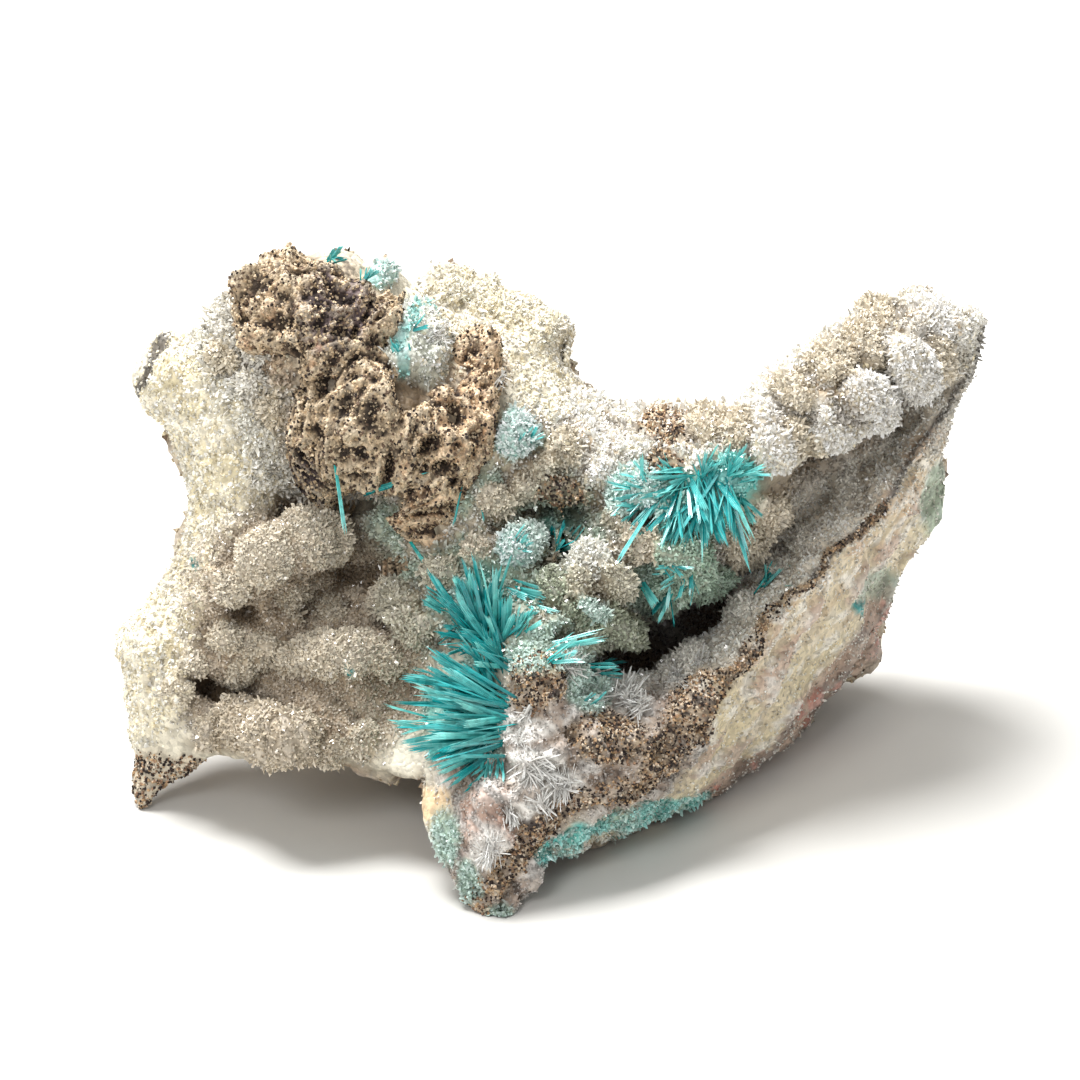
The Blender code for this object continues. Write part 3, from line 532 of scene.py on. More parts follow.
def rock_relief():
    """Height of the relief along the normal, in millimetres: the named forms and balls, packed round
    nodules in the druse, sugary lumps in the cream, and steps between the chunks of broken rock. Gives
    the balls' region too, from 0 to 1."""
    height, balls = standing(FINE_FORMS), np.zeros(across.shape)
    for x, y, radius, tall, *_ in BALLS:
        reach = ball_reach(x, y, radius)
        height = height + tall * reach
        balls = np.maximum(balls, step(reach, 0.05, 0.4))
    druse = either(left_hollow, middle_druse, druse_gossan, 0.6 * channel)
    amount = 0.25 + 0.45 * druse + 0.6 * bank + 0.3 * cream
    height += amount * (1 - 0.8 * broken) * (nodules - 0.6)
    height += (0.25 + 0.2 * druse + 0.3 * cream + 0.25 * bank) * (1 - 0.7 * broken) * (lumps - 0.6)
    height += block * (1.1 * (chunk_own - 0.5) + 0.5 * (lump_own - 0.5))
    height += outer_side * (0.9 * (slab_own - 0.5) + 0.35 * (lump_own - 0.5))
    height += (1 - front) * (2.0 * (block_own - 0.5) + 0.8 * (chunk_own - 0.5) + 0.9 * (blocks - 0.5))
    height += 0.35 * rough(base, 2.6, 3, 3) + 0.16 * rough(base, 0.7, 2, 21)
    height += block_brown * 0.5 * rough(base, 0.9, 3, 33)
    return height, balls


def smoothed(values, reach):
    """Values averaged over a square of grid points round each."""
    for axis in (0, 1):
        ends = [(reach + 1, reach) if n == axis else (0, 0) for n in (0, 1)]
        total = np.cumsum(np.pad(values, ends, mode="edge"), axis)
        here = np.arange(values.shape[axis])
        high, low = np.take(total, here + 2 * reach + 1, axis), np.take(total, here, axis)
        values = (high - low) / (2 * reach + 1)
    return values


relief, on_balls = rock_relief()
relief = smoothed(relief, 1) * step(from_ends(ROWS)[:, None], 0, FADED)
skin = base + base_normals * relief[..., None]
skin_normals = grid_normals(skin)
# How far each point lies below the smoothed relief round it, from -1 to 1: it steers the painted shade in the
# hollows and the painted highlight on the tops
hollowness = np.clip((smoothed(relief, 14) - relief) / 0.55, -1, 1)

# Screen colours

WHITE = (246, 243, 236)
CREAM = (231, 223, 202)
YELLOW = (216, 202, 160)
DRUSE_GREY = (186, 174, 152)
DRUSE_WARM = (178, 160, 136)
# A brown that paints shade into hollows, pits and seams
PAINTED_SHADE_BROWN = (104, 84, 58)
CHANNEL_GREY = (214, 204, 188)
TAN = (204, 181, 151)
DARK = (46, 36, 32)
PINK_BROWN = (196, 168, 152)
ORANGE = (226, 192, 146)
MINT = (160, 190, 174)
TEAL = (20, 160, 160)
AQUA = (70, 178, 168)


def rock_colours():
    """The rock's colour at each grid point, and that of the crystals' tips on it: its regions' colours
    laid over each other, with painted shade that makes the hollows between lumps darker and browner and
    a painted highlight on the tops of lumps."""
    coarse, fine = rough(base, 2.0, 3, 41), rough(base, 0.5, 2, 43)
    # Painted shade goes into the pits of the relief and a painted highlight onto its tops
    pit_shade, top = np.clip(hollowness, 0, 1), np.clip(-hollowness, 0, 1)
    colour = np.broadcast_to(linear(214, 207, 188), base.shape).copy()
    tips = np.broadcast_to(linear(246, 243, 234), base.shape).copy()

    def ground(shade, amount):
        nonlocal colour
        colour = blend(colour, shade, amount)

    def ends(shade, amount):
        nonlocal tips
        tips = blend(tips, shade, amount)

    # Druse, cream rock, bank and channel
    ground(DRUSE_GREY, either(middle_druse, druse_gossan))
    ground((134, 158, 138), front * middle_druse * step(coarse, -0.3, 0.2) * 0.7)
    ends((196, 220, 204), front * middle_druse * step(coarse, -0.3, 0.2) * 0.8)
    ground(DRUSE_WARM, left_hollow)
    ends((220, 205, 184), left_hollow * 0.9)
    ground(CREAM, cream)
    ground(YELLOW, cream * step(coarse, -0.1, 0.4) * 0.7)
    # The bank's own pale colour on ground and tips, made whiter still as a painted highlight
    ground((250, 243, 226), bank)
    ground(ORANGE, bank * step(coarse, 0.0, 0.35) * 0.6)
    ends((255, 252, 244), bank)
    ground(CHANNEL_GREY, channel)
    ends((250, 247, 238), channel)
    # Outer side and rind
    ground((232, 218, 190), outer_side)
    ground(YELLOW, outer_side * step(slab_own, 0.3, 0.6) * 0.5)
    near_crest = front * strip(22, (756, 668), (800, 618), (850, 570), (900, 512), (940, 448))
    ground((206, 176, 146), near_crest * step(slab_own + 0.4 * coarse, 0.2, 0.7) * 0.7)
    ground(PINK_BROWN, outer_side * step(slab_own, 0.72, 0.86) * 0.7)
    # Painted highlight: white on the outer side's highest lumps
    ground(WHITE, outer_side * step(lump_own, 0.7, 0.8) * 0.6)
    ground(PINK_BROWN, front * rind * 0.85)
    ground(DARK, front * rind * step(slab_own, 0.6, 0.75) * 0.55)
    ground((206, 130, 112), front * rind * step(lump_own, 0.86, 0.92) * 0.7)
    ground(MINT, front * patch(944, 500, 16, 40) * 0.7)
    ground(MINT, front * patch(886, 585, 24, 18) * 0.6)
    # Block and brown rock
    mottle = rough(base, 1.3, 3, 45)
    ground((172, 156, 142), block)
    ground((136, 116, 102), block * step(coarse, -0.25, 0.2) * 0.75)
    ground((190, 152, 134), front * patch(486, 820, 34, 44) * 0.6)
    ground(ORANGE, front * patch(432, 806, 20, 20) * 0.8)
    ground((216, 214, 210), block * step(mottle, 0.08, 0.28) * 0.7)
    ground((226, 224, 218), front * block_white * 0.8)
    ends((190, 184, 178), block)
    mottled = block_brown * (0.25 + 0.75 * step(mottle, -0.22, 0.02))
    brown = front * either(mottled, middle_brown, left_foot * 0.45, 0.8 * gossan_bed)
    ground(TAN, brown * 0.85)
    ground((92, 76, 68), brown * step(rough(base, 1.1, 3, 49), 0.05, 0.35) * 0.75)
    ground(DARK, brown * step(fine, -0.05, 0.22) * 0.85)
    ends((206, 178, 146), brown)
    ground(DARK, block * (1 - block_white) * step(fine, 0.2, 0.36) * 0.75)
    # Mint and blue-green crystals
    ground(MINT, front * mint_edge * 0.8)
    ends((214, 236, 228), front * mint_edge)
    ground(AQUA, front * aqua * 0.75)
    ends((190, 232, 222), front * aqua * 0.8)
    ground((168, 160, 92), front * patch(549, 548, 14, 12) * 0.7)
    ground((70, 196, 190), front * rim_blue * step(mottle, -0.4, 0.1) * 0.85)
    ends((170, 232, 226), front * rim_blue * (0.4 + 0.6 * lump_own))
    # Balls, a ball without a tone being sand
    for x, y, radius, _, *tone in BALLS:
        root, tip = TONES[tone[0] if tone else "sand"]
        reach = step(ball_reach(x, y, radius * 1.1), 0.1, 0.5)
        ground(root, reach * 0.8)
        ends(tip, reach)
    ground(TEAL, front * ovals((865, 606, 8, 7), (351, 676, 4, 4), (199, 562, 5, 5)))
    crescent = front * strip(5, (402, 374), (396, 345), (410, 320), (430, 322))
    ground(TEAL, crescent * 0.6)
    ends((120, 214, 208), crescent * 0.7)
    # Painted shade in the shaded grooves, under the bank, in the middle's pits and in the deep hollow; and dark
    # lines
    shade = front * either(left_shade, bank_shade, middle_pit_shade, 0.9 * shaded_hollow)
    ground(PAINTED_SHADE_BROWN, shade * 0.7)
    ends(PAINTED_SHADE_BROWN, shade * 0.55)
    ground(DARK, front * shaded_hollow * 0.5)
    ends(DARK, front * shaded_hollow * 0.3)
    dark_lines = front * either(crest_line, top_left_dark)
    ground(DARK, dark_lines * 0.85)
    ends(DARK, dark_lines * 0.7)
    # Back
    behind = 1 - front
    ground((158, 138, 112), behind)
    ground((188, 172, 144), behind * step(block_own + 0.4 * coarse, 0.35, 0.7) * 0.8)
    ground((134, 108, 88), behind * step(chunk_own, 0.6, 0.8) * 0.6)
    ground((166, 124, 80), behind * step(rough(base, 3.0, 3, 47), 0.2, 0.45) * 0.6)
    ground(DARK, behind * step(fine, 0.22, 0.4) * 0.6)
    # Painted shade in the seams between the back's blocks
    ground(PAINTED_SHADE_BROWN, behind * np.clip(1 - 2.2 * blocks, 0, 1) * 0.6)
    # Painted shade on the lip, in sheltered places and in every pit, and a painted highlight on every top
    lip = front * patch(262, 737, 74, 22)
    # Painted shade that darkens the lip
    ground((150, 132, 108), lip * 0.5)
    ends((188, 172, 148), lip * 0.5)
    # Painted shade in sheltered places of the middle
    sheltered_shade = front * ovals((575, 605, 70, 60), (560, 520, 60, 50), (430, 600, 40, 60))
    ground((112, 116, 96), sheltered_shade * 0.35)
    ends((160, 172, 152), sheltered_shade * 0.3)
    grown = either(left_hollow, middle_druse, bank, channel) * front
    ground(PAINTED_SHADE_BROWN, pit_shade * (0.35 + 0.35 * grown))
    ground(WHITE, top * 0.25 * (1 - brown))
    ends(PAINTED_SHADE_BROWN, pit_shade * 0.45)
    return colour * (1 + 0.12 * fine)[..., None], tips


skin_colours, tip_colours = rock_colours()


# Materials


def tinted(name, roughness, transmission=0.0, ior=1.5, speckle=0.0, bump=0.0, grain=0.4):
    """A finish whose colour comes from the piece's own tint attribute. Grains of this many millimetres,
    worked out from the piece's place, each take their own brightness and stand up from their seams."""
    material = bpy.data.materials.new(name)
    material.use_nodes = True
    nodes, links = material.node_tree.nodes, material.node_tree.links
    shader = nodes["Principled BSDF"]

    def add(kind, operation=None, **settings):
        node = nodes.new("ShaderNode" + kind)
        if operation:
            node.operation = operation
        for name, value in settings.items():
            node.inputs[name.replace("_", " ")].default_value = value
        return node

    tint = add("Attribute")
    tint.attribute_name = "tint"
    place = add("TexCoord").outputs["Object"]
    grains = add("TexVoronoi", Scale=1000.0 / grain)
    clouds = add("TexNoise", Scale=500.0 / grain, Detail=4.0)
    parts, mixed = add("SeparateColor"), add("Math", "ADD")
    ramp = add("MapRange", From_Min=0.4, From_Max=1.6, To_Min=1.0 - speckle, To_Max=1.0 + speckle * 0.7)
    scaled = add("VectorMath", "SCALE")
    links.new(place, grains.inputs["Vector"])
    links.new(place, clouds.inputs["Vector"])
    links.new(grains.outputs["Color"], parts.inputs["Color"])
    links.new(parts.outputs["Red"], mixed.inputs[0])
    links.new(clouds.outputs["Fac"], mixed.inputs[1])
    links.new(mixed.outputs["Value"], ramp.inputs["Value"])
    links.new(tint.outputs["Color"], scaled.inputs[0])
    links.new(ramp.outputs["Result"], scaled.inputs["Scale"])
    links.new(scaled.outputs["Vector"], shader.inputs["Base Color"])
    if bump:
        stands = add("Math", "SUBTRACT")
        uneven = add("Bump", Strength=bump, Distance=grain * 0.0005)
        links.new(clouds.outputs["Fac"], stands.inputs[0])
        links.new(grains.outputs["Distance"], stands.inputs[1])
        links.new(stands.outputs["Value"], uneven.inputs["Height"])
        links.new(uneven.outputs["Normal"], shader.inputs["Normal"])
    shader.inputs["Roughness"].default_value = roughness
    shader.inputs["Transmission Weight"].default_value = transmission
    shader.inputs["IOR"].default_value = ior
    return material


rock_finish = tinted("sugary_rock", 0.6, speckle=0.3, bump=0.6, grain=0.42)
gossan_finish = tinted("crumbly_gossan", 0.95, speckle=0.5, bump=1.0, grain=0.3)
druse_finish = tinted("fine_druse_crystal", 0.12, transmission=0.15, ior=1.62, speckle=0.12, grain=0.6)
needle_finish = tinted("blue_green_needle", 0.24, transmission=0.08, ior=1.65, speckle=0.25, grain=0.5)


# Meshes


def put_in(name, points, faces, tint, material, smooth=False):
    """A piece of face-frame points, faces of equal corner count and a colour for each point. Nothing
    reaches below the floor."""
    points = turned(points).reshape(-1, 3).astype(np.float32)
    points[:, 2] = np.maximum(points[:, 2], 0.0)
    mesh = bpy.data.meshes.new(name)
    corners = faces.shape[1]
    mesh.vertices.add(len(points))
    mesh.vertices.foreach_set("co", points.ravel())
    mesh.loops.add(faces.size)
    mesh.loops.foreach_set("vertex_index", faces.astype(np.int32).ravel())
    mesh.polygons.add(len(faces))
    mesh.polygons.foreach_set("loop_start", np.arange(0, faces.size, corners, dtype=np.int32))
    mesh.polygons.foreach_set("use_smooth", np.full(len(faces), smooth))
    mesh.update(calc_edges=True)
    mesh.validate()
    colours = mesh.attributes.new("tint", "FLOAT_COLOR", "POINT")
    tint = np.clip(tint.reshape(-1, 3), 0, 1)
    rgba = np.concatenate([tint, np.ones((len(tint), 1))], axis=1)
    colours.data.foreach_set("color", rgba.astype(np.float32).ravel())
    mesh.materials.append(material)
    piece = bpy.data.objects.new(name, mesh)
    bpy.context.scene.collection.objects.link(piece)
    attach(piece, "root")
    return piece


def skin_piece(name, points, tint, material):
    """The closed skin over a grid that meets itself the short way. Its first and last rows are each one
    point, joined to the row beside it by a fan."""
    rows, around = points.shape[0] - 2, points.shape[1]
    i, j = np.meshgrid(np.arange(rows - 1), np.arange(around), indexing="ij")
    k = (j + 1) % around
    corners_of = (i * around + j, (i + 1) * around + j, (i + 1) * around + k, i * around + k)
    a, b, c, d = (1 + corner.ravel() for corner in corners_of)
    here, ahead = 1 + j[0], 1 + k[0]
    first, last = np.zeros(around, int), np.full(around, rows * around + 1)
    final_row = (rows - 1) * around
    fans = ((first, ahead, here), (final_row + here, final_row + ahead, last))
    faces = np.concatenate([np.stack(corners, -1) for corners in ((a, d, c), (a, c, b), *fans)])
    rolled_out = [np.concatenate([grid[0, :1], grid[1:-1].reshape(-1, 3), grid[-1, :1]]) for grid in (points, tint)]
    return put_in(name, rolled_out[0], faces, rolled_out[1], material, True)


def crust_piece(name, rows, columns, height, tint, material):
    """A closed crust over a window of the rock's grid. Its front stands this high over the skin, and where
    that is below zero it stays hidden in the rock. A cone from its rim to a point inside closes it."""
    window = np.ix_(np.arange(*rows), np.arange(*columns) % base.shape[1])
    top = skin[window] + base_normals[window] * height[window][..., None]
    wide, tall = top.shape[:2]
    index = np.arange(wide * tall).reshape(wide, tall)
    a, b, c, d = index[:-1, :-1], index[1:, :-1], index[1:, 1:], index[:-1, 1:]
    rim = np.concatenate([index[:-1, 0], index[-1, :-1], index[:0:-1, -1], index[0, :0:-1]])
    inner = np.full(len(rim), wide * tall)
    cone = (rim, np.roll(rim, -1), inner)
    faces = [np.stack(corners, -1).reshape(-1, 3) for corners in ((a, c, b), (a, d, c), cone)]
    inside = top.reshape(-1, 3)[rim].mean(axis=0) - np.array([0, 0, 4.0])
    points = np.concatenate([top.reshape(-1, 3), inside[None]])
    colours = np.concatenate([tint[window].reshape(-1, 3), linear(*TAN)[None]])
    return put_in(name, points, np.concatenate(faces), colours, material, True)


def places_on(grid, normals, weight, count, rng):
    """Random places on a grid: cells picked by area times weight, and a random place inside each. Gives
    face-frame points, normals and the cells picked."""
    wide, tall = grid[1:, :-1] - grid[:-1, :-1], grid[:-1, 1:] - grid[:-1, :-1]
    area = np.linalg.norm(np.cross(wide, tall), axis=-1) * weight[:-1, :-1]
    chance = (area / area.sum()).ravel()
    cell = rng.choice(chance.size, count, p=chance)
    i, j = np.unravel_index(cell, area.shape)
    s, t = rng.random((2, count, 1))
    points = grid[i, j] + s * wide[i, j] + t * tall[i, j]
    return points, normals[i, j], (i, j)


def frames_of(aims, rng):
    """Two directions square to each aim, turned at random."""
    side = unit(np.cross(aims, rng.normal(size=aims.shape)))
    return side, np.cross(aims, side)


def many(faces, count, corners):
    """The faces of one small shape, repeated for a row of them with this many corners each."""
    return (np.arange(count)[:, None, None] * corners + np.array(faces)[None]).reshape(-1, 3)


def rods(name, roots, aims, widths, lengths, tint_base, tint_tip, material, seed):
    """Small three-sided crystals in one piece. Each has a ring of corners at the root, a narrower ring at
    the end that is cut on a slant, and both ends closed."""
    side, other = frames_of(aims, np.random.default_rng(seed))
    half, rise = widths[:, None] / 2, lengths[:, None]
    rings = []
    for size, heights in ((1.0, (-0.2, -0.2, -0.2)), (0.8, (1.0, 0.82, 0.62))):
        for turn, height in zip((0.0, 2.094, 4.189), heights):
            lean = side * math.cos(turn) + other * math.sin(turn)
            rings.append(roots + aims * rise * height + lean * half * size)
    faces = [(0, 2, 1), (3, 4, 5)]
    for n in range(3):
        m = (n + 1) % 3
        faces += [(n, m, 3 + m), (n, 3 + m, 3 + n)]
    tint = np.repeat(tint_base[:, None], 6, axis=1)
    tint[:, 3:] = tint_tip[:, None]
    return put_in(name, np.stack(rings, 1), many(faces, len(roots), 6), tint, material)


def bars(name, roots, tips, widths, side, flatness, tint_base, tint_tip, material):
    """Straight crystals in one piece, from root to tip. Each is a four-cornered bar: a ring at the root, a
    ring short of the tip and one tip point, wider along its side direction, and closed at the root."""
    aims, rise = unit(tips - roots), np.linalg.norm(tips - roots, axis=1, keepdims=True)
    side = unit(side - aims * (side * aims).sum(-1, keepdims=True))
    other = np.cross(aims, side)
    rings = []
    for height, size in ((0.0, 1.0), (0.88, 0.75)):
        for x, y in ((1, 0), (0, 1), (-1, 0), (0, -1)):
            lean = (side * x + other * y * flatness) * widths[:, None]
            rings.append(roots + aims * rise * height + lean * size / 2)
    rings.append(tips)
    faces = [(0, 3, 2), (0, 2, 1)]
    for n in range(4):
        m = (n + 1) % 4
        faces += [(n, m, 4 + m), (n, 4 + m, 4 + n), (4 + n, 4 + m, 8)]
    tint = np.repeat(tint_base[:, None], 9, axis=1)
    tint[:, 4:] = tint_tip[:, None]
    return put_in(name, np.stack(rings, 1), many(faces, len(roots), 9), tint, material)


def chips(name, roots, sizes, tint, material, seed):
    """Small eight-faced grains in one piece: six points at uneven distances on three crossed axes."""
    rng = np.random.default_rng(seed)
    count = len(roots)
    first = unit(rng.normal(size=(count, 3)))
    second, third = frames_of(first, rng)
    reach = sizes[:, None, None] * rng.uniform(0.55, 1.25, (count, 6, 1)) / 2
    ways = np.stack([first, second, -first, -second, third, -third], axis=1)
    points = roots[:, None] + ways * reach
    faces = [(n, (n + 1) % 4, 4) for n in range(4)] + [((n + 1) % 4, n, 5) for n in range(4)]
    return put_in(name, points, many(faces, count, 6), np.repeat(tint, 6, axis=0), material)


# The rock's skin and the druse on it

every_other = np.r_[0 : ROWS - 1 : 2, ROWS - 1]
rock = skin_piece("rock_skin", skin[every_other, ::2], skin_colours[every_other, ::2], rock_finish)
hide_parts("matrix")


def druse_patch(name, weight, count, size, seed, spread=0.65, long=1.0, finish=druse_finish):
    """Crystals standing near the skin's normal over a weighted region. Each takes the ground's colour at
    its root, and turns to the region's tip colour, some duller and some brighter."""
    rng = np.random.default_rng(seed)
    roots, normals, (i, j) = places_on(skin, skin_normals, np.clip(weight, 0, 1), count, rng)
    aims = unit(normals + spread * rng.normal(size=normals.shape))
    widths = size * rng.uniform(0.6, 1.4, count)
    lengths = size * long * (rng.uniform(0.6, 1.5, count) + 1.3 * (rng.random(count) < 0.1))
    # Each crystal's own random brightness, and a few tips brighter still: partly random tone, partly painted
    # sparkle
    shade = rng.uniform(0.6, 1.15, (count, 1))
    tip_sparkle = rng.random((count, 1)) ** 2
    at_root = skin_colours[i, j] * shade
    at_tip = tip_colours[i, j] * np.clip(shade + 0.4 * tip_sparkle, 0, 1.15)
    return rods(name, roots, aims, widths, lengths, at_root, at_tip, finish, seed)


bare = either(block_brown, middle_brown, left_foot, step(standing(GOSSAN_FORMS), 1.6, 2.6)) * front
druse_left = druse_patch("druse_left", left_hollow * front, 21000, 0.28, 101, 0.8, 0.7)
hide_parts("druse_crust_left")
druse_right = druse_patch("druse_right", either(channel, shaded_hollow) * front, 13500, 0.28, 102, 0.75, 0.85)
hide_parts("druse_crust_right")
druse_patch("druse_middle", middle_druse * (1 - bare) * front, 12500, 0.31, 103)
druse_patch("druse_bank", bank * (1 - 0.8 * bare) * front, 11500, 0.34, 104)
druse_patch("druse_cream", cream * (1 - bare) * front, 6000, 0.27, 105, 0.9, 0.7)
druse_patch("druse_gossan", druse_gossan * front, 4000, 0.34, 106, long=1.3)
on_broken = np.clip(either(block, 0.3 * outer_side) - 0.7 * bare, 0, 1) * front
druse_patch("druse_broken", on_broken, 7000, 0.24, 107, 1.0, 0.7, rock_finish)
druse_patch("ball_crystals", on_balls, 11500, 0.3, 108, 0.55, 1.1)
druse_patch("edge_crystals", either(mint_edge, rim_blue) * front, 4000, 0.32, 109, 0.9, 0.9)

# Gossan and broken rock


def sponge(size, seed):
    """Worm-like ridges with pits between: one less the size of a noise, twice over."""
    return 1 - 2 * np.abs(noise(base, size, seed)) - 0.5 * np.abs(noise(base, size / 2, seed + 1))


gossan_height = standing(GOSSAN_FORMS)
gossan_body = step(gossan_height, 0.8, 2.2)
gossan_height = np.minimum(gossan_height, 4.2) - 1.6 + standing(GOSSAN_HOLES) + 1.3 * rough(base, 2.0, 4, 59)
crumbs = 0.8 * rough(base, 2.4, 2, 61) + 0.55 * sponge(1.6, 63) + 0.5 * sponge(0.75, 67)
gossan_height = gossan_height + gossan_body * (crumbs - 0.5 * step(noise(base, 0.9, 71), 0.15, 0.5))
deepest = -0.4 - 1.2 * step(rim_away, 1.0, 4.0)
gossan_height = np.maximum(gossan_height - 2.5 * step(1.2 - rim_away, 0, 1.0), deepest)
# How far each point of the gossan lies below the smoothed gossan round it: for painted shade in the pits and a
# painted highlight on the tops
gossan_pits = np.clip((smoothed(gossan_height, 8) - gossan_height) / 0.5, -1, 1)


def gossan_colours():
    """Tan, greyer on the upper mass and rustier to the right and speckled, with painted shade that makes
    the pits nearly black and a painted highlight on the tops.
    """
    tone = np.broadcast_to(linear(194, 172, 142), base.shape).copy()
    tone = blend(tone, (118, 102, 102), patch(335, 322, 34, 42))
    tone = blend(tone, (204, 168, 130), ovals((470, 400, 44, 70), (428, 515, 44, 40)))
    tone = blend(tone, (80, 68, 70), patch(310, 468, 24, 36))
    tone = blend(tone, (216, 156, 112), step(rough(base, 1.6, 2, 77), 0.3, 0.6) * 0.4)
    # Painted shade that makes the pits nearly black
    tone = blend(tone, DARK, step(gossan_pits, -0.1, 0.6) * 0.92)
    tone = blend(tone, DARK, step(0.1 - np.abs(noise(base, 0.8, 79)), 0.0, 0.08) * 0.6)
    tone = blend(tone, DARK, step(rough(base, 0.55, 3, 81), 0.14, 0.32) * 0.75)
    # Painted highlight on the tops between the pits
    return blend(tone, (226, 210, 184), np.clip(-gossan_pits, 0, 1) * 0.5)


gossan = crust_piece("gossan_crust", (161, 421), (-16, 245), gossan_height, gossan_colours(), gossan_finish)
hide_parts("gossan_crown")


def grains_on(name, weight, height, count, sizes, tints, seed, material):
    """Loose grains over a weighted region, this high over the skin, each of one of the tints."""
    rng = np.random.default_rng(seed)
    seat = skin + base_normals * np.asarray(height)[..., None]
    roots, normals, (i, j) = places_on(seat, skin_normals, weight, count, rng)
    tones = np.array([linear(*tone) for tone in tints])[rng.integers(0, len(tints), count)]
    tones = tones * rng.uniform(0.75, 1.15, (count, 1))
    chips(name, roots, rng.uniform(*sizes, count), tones, material, seed)


GRAIN_TONES = ((206, 184, 152), (188, 164, 132), (224, 204, 174), (52, 42, 38), (110, 90, 74))
BLOCK_TONES = ((190, 158, 122), (60, 48, 42), (48, 38, 36), (150, 120, 96), (222, 206, 184))
PALE_TONES = ((236, 229, 210), (228, 219, 194), (244, 241, 232), (220, 208, 178))
BACK_TONES = ((176, 158, 130), (150, 128, 104), (198, 184, 158), (118, 96, 78))
on_gossan = (gossan_height > 0.3) * gossan_body
grains_on("gossan_grains", on_gossan, gossan_height, 8500, (0.15, 0.5), GRAIN_TONES, 302, gossan_finish)
brown_rock = either(block_brown, middle_brown, left_foot) * front
grains_on("block_grains", brown_rock, 0.05, 6500, (0.15, 0.45), BLOCK_TONES, 303, gossan_finish)
grains_on("sugar_grains", (cream + 0.3 * bank) * front, 0, 7000, (0.25, 0.7), PALE_TONES, 305, rock_finish)
grains_on("back_grains", 1 - front, 0, 4000, (0.3, 0.9), BACK_TONES, 306, rock_finish)

# Needle sprays and white fans

MAP_CELL = 0.25
MAP_LOW = np.array([-42.0, -4.0])
MAP_SIZE = (340, 270)
EMPTY = -40.0


def height_map():
    """How far out the skin and gossan stand on a square raster of the face, the greatest in each cell.
    Empty cells take a neighbour's."""
    raster = np.full(MAP_SIZE, EMPTY)
    seen = on_front.ravel()
    solid = skin + base_normals * np.maximum(gossan_height, 0)[..., None]
    cell = ((solid[..., :2].reshape(-1, 2)[seen] - MAP_LOW) / MAP_CELL).astype(int)
    np.maximum.at(raster, (cell[:, 0], cell[:, 1]), solid[..., 2].ravel()[seen])
    for _ in range(3):
        near = [np.roll(raster, shift, (0, 1)) for shift in itertools.product((-1, 0, 1), repeat=2)]
        raster = np.where(raster == EMPTY, np.maximum.reduce(near), raster)
    return raster


skin_out = height_map()


def depth_at(places):
    """How far out the skin stands at places of the face."""
    cell = ((places - MAP_LOW) / MAP_CELL).astype(int)
    return skin_out[tuple(np.clip(cell, 0, np.array(MAP_SIZE) - 1).T)]


STRANDS = 4  # bars to a blade


def blades(name, node, fans, seed):
    """Sprays of fibrous blades in one piece. A fan's row says where it starts and ends in the picture, its
    spread in degrees, how many blades, their width, how pale they are and how far their tips stand out.
    Each blade is four thin bars side by side, closer together at the root and uneven at the end."""
    rng = np.random.default_rng(seed)
    roots, tips, widths, sides, tones = [], [], [], [], []
    for x0, y0, x1, y1, spread, count, width, tone, rise in fans:
        start, end = np.array(spot(x0, y0)), np.array(spot(x1, y1))
        reach = np.linalg.norm(end - start)
        loose = min(1.0, spread / 8.0)
        angle = math.atan2(*(end - start)[::-1]) + math.radians(spread) * rng.normal(size=count)
        places = start + 0.11 * loose * reach * rng.normal(size=(count, 2))
        reach = reach * (1.08 - loose * rng.uniform(0, 0.58, count))
        ends = places + np.stack([np.cos(angle), np.sin(angle)], -1) * reach[:, None]
        out = depth_at(places) - 0.3
        tip_out = np.maximum(out + rise * rng.uniform(0.3, 1.2, count), depth_at(ends) + 0.2)
        tip_out = np.minimum(tip_out, out + rise + 1.5 * reach)
        root, tip = np.column_stack([places, out]), np.column_stack([ends, tip_out])
        side, _ = frames_of(unit(tip - root), rng)
        wide = width * rng.uniform(0.4, 1.3, count)
        own_tone = np.where(rng.random(count) < 0.12, 0.9, 0.75 * tone) + 0.14 * rng.normal(size=count)
        for n in range(STRANDS):
            shift = side * (wide * (n - 1.5) / STRANDS)[:, None]
            cut = rng.uniform(0.82, 1.0, (count, 1))
            roots.append(root + shift * 0.5)
            tips.append(root + (tip - root) * cut + shift)
            widths.append(wide / STRANDS * rng.uniform(1.1, 1.8, count))
            sides.append(side)
            tones.append(np.clip(own_tone + 0.14 * rng.normal(size=count), 0, 1))
    tone = np.concatenate(tones)[:, None]
    deep = linear(0, 110, 114) * (1 - tone) + linear(0, 196, 192) * tone
    pale = linear(0, 160, 162) * (1 - tone) + linear(160, 242, 234) * tone
    roots, tips, widths, sides = (np.concatenate(rows) for rows in (roots, tips, widths, sides))
    piece = bars(name, roots, tips, widths, sides, 0.7, deep, pale, needle_finish)
    for replaced in node:
        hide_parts(replaced)
    return piece


blades("spray_upper", ["needle_spray_upper"], (
    (488, 640, 462, 566, 11, 18, 0.7, 0.25, 2.6), (492, 636, 500, 568, 10, 12, 0.7, 0.5, 3.2),
    (500, 632, 524, 600, 16, 14, 0.5, 0.4, 2.2), (510, 590, 556, 604, 7, 8, 0.65, 0.8, 2.4),
    (476, 634, 446, 588, 16, 18, 0.6, 0.3, 2.2), (486, 644, 444, 622, 20, 18, 0.6, 0.2, 1.8),
    (520, 634, 536, 604, 10, 12, 0.4, 0.85, 2.2), (450, 608, 424, 584, 20, 9, 0.4, 0.6, 1.4),
    (500, 664, 470, 626, 24, 24, 0.55, 0.25, 1.8), (470, 606, 458, 568, 14, 10, 0.55, 0.5, 2.8),
    (484, 620, 484, 578, 30, 20, 0.5, 0.15, 1.6), (462, 628, 440, 640, 25, 10, 0.4, 0.3, 1.2),
), 201)
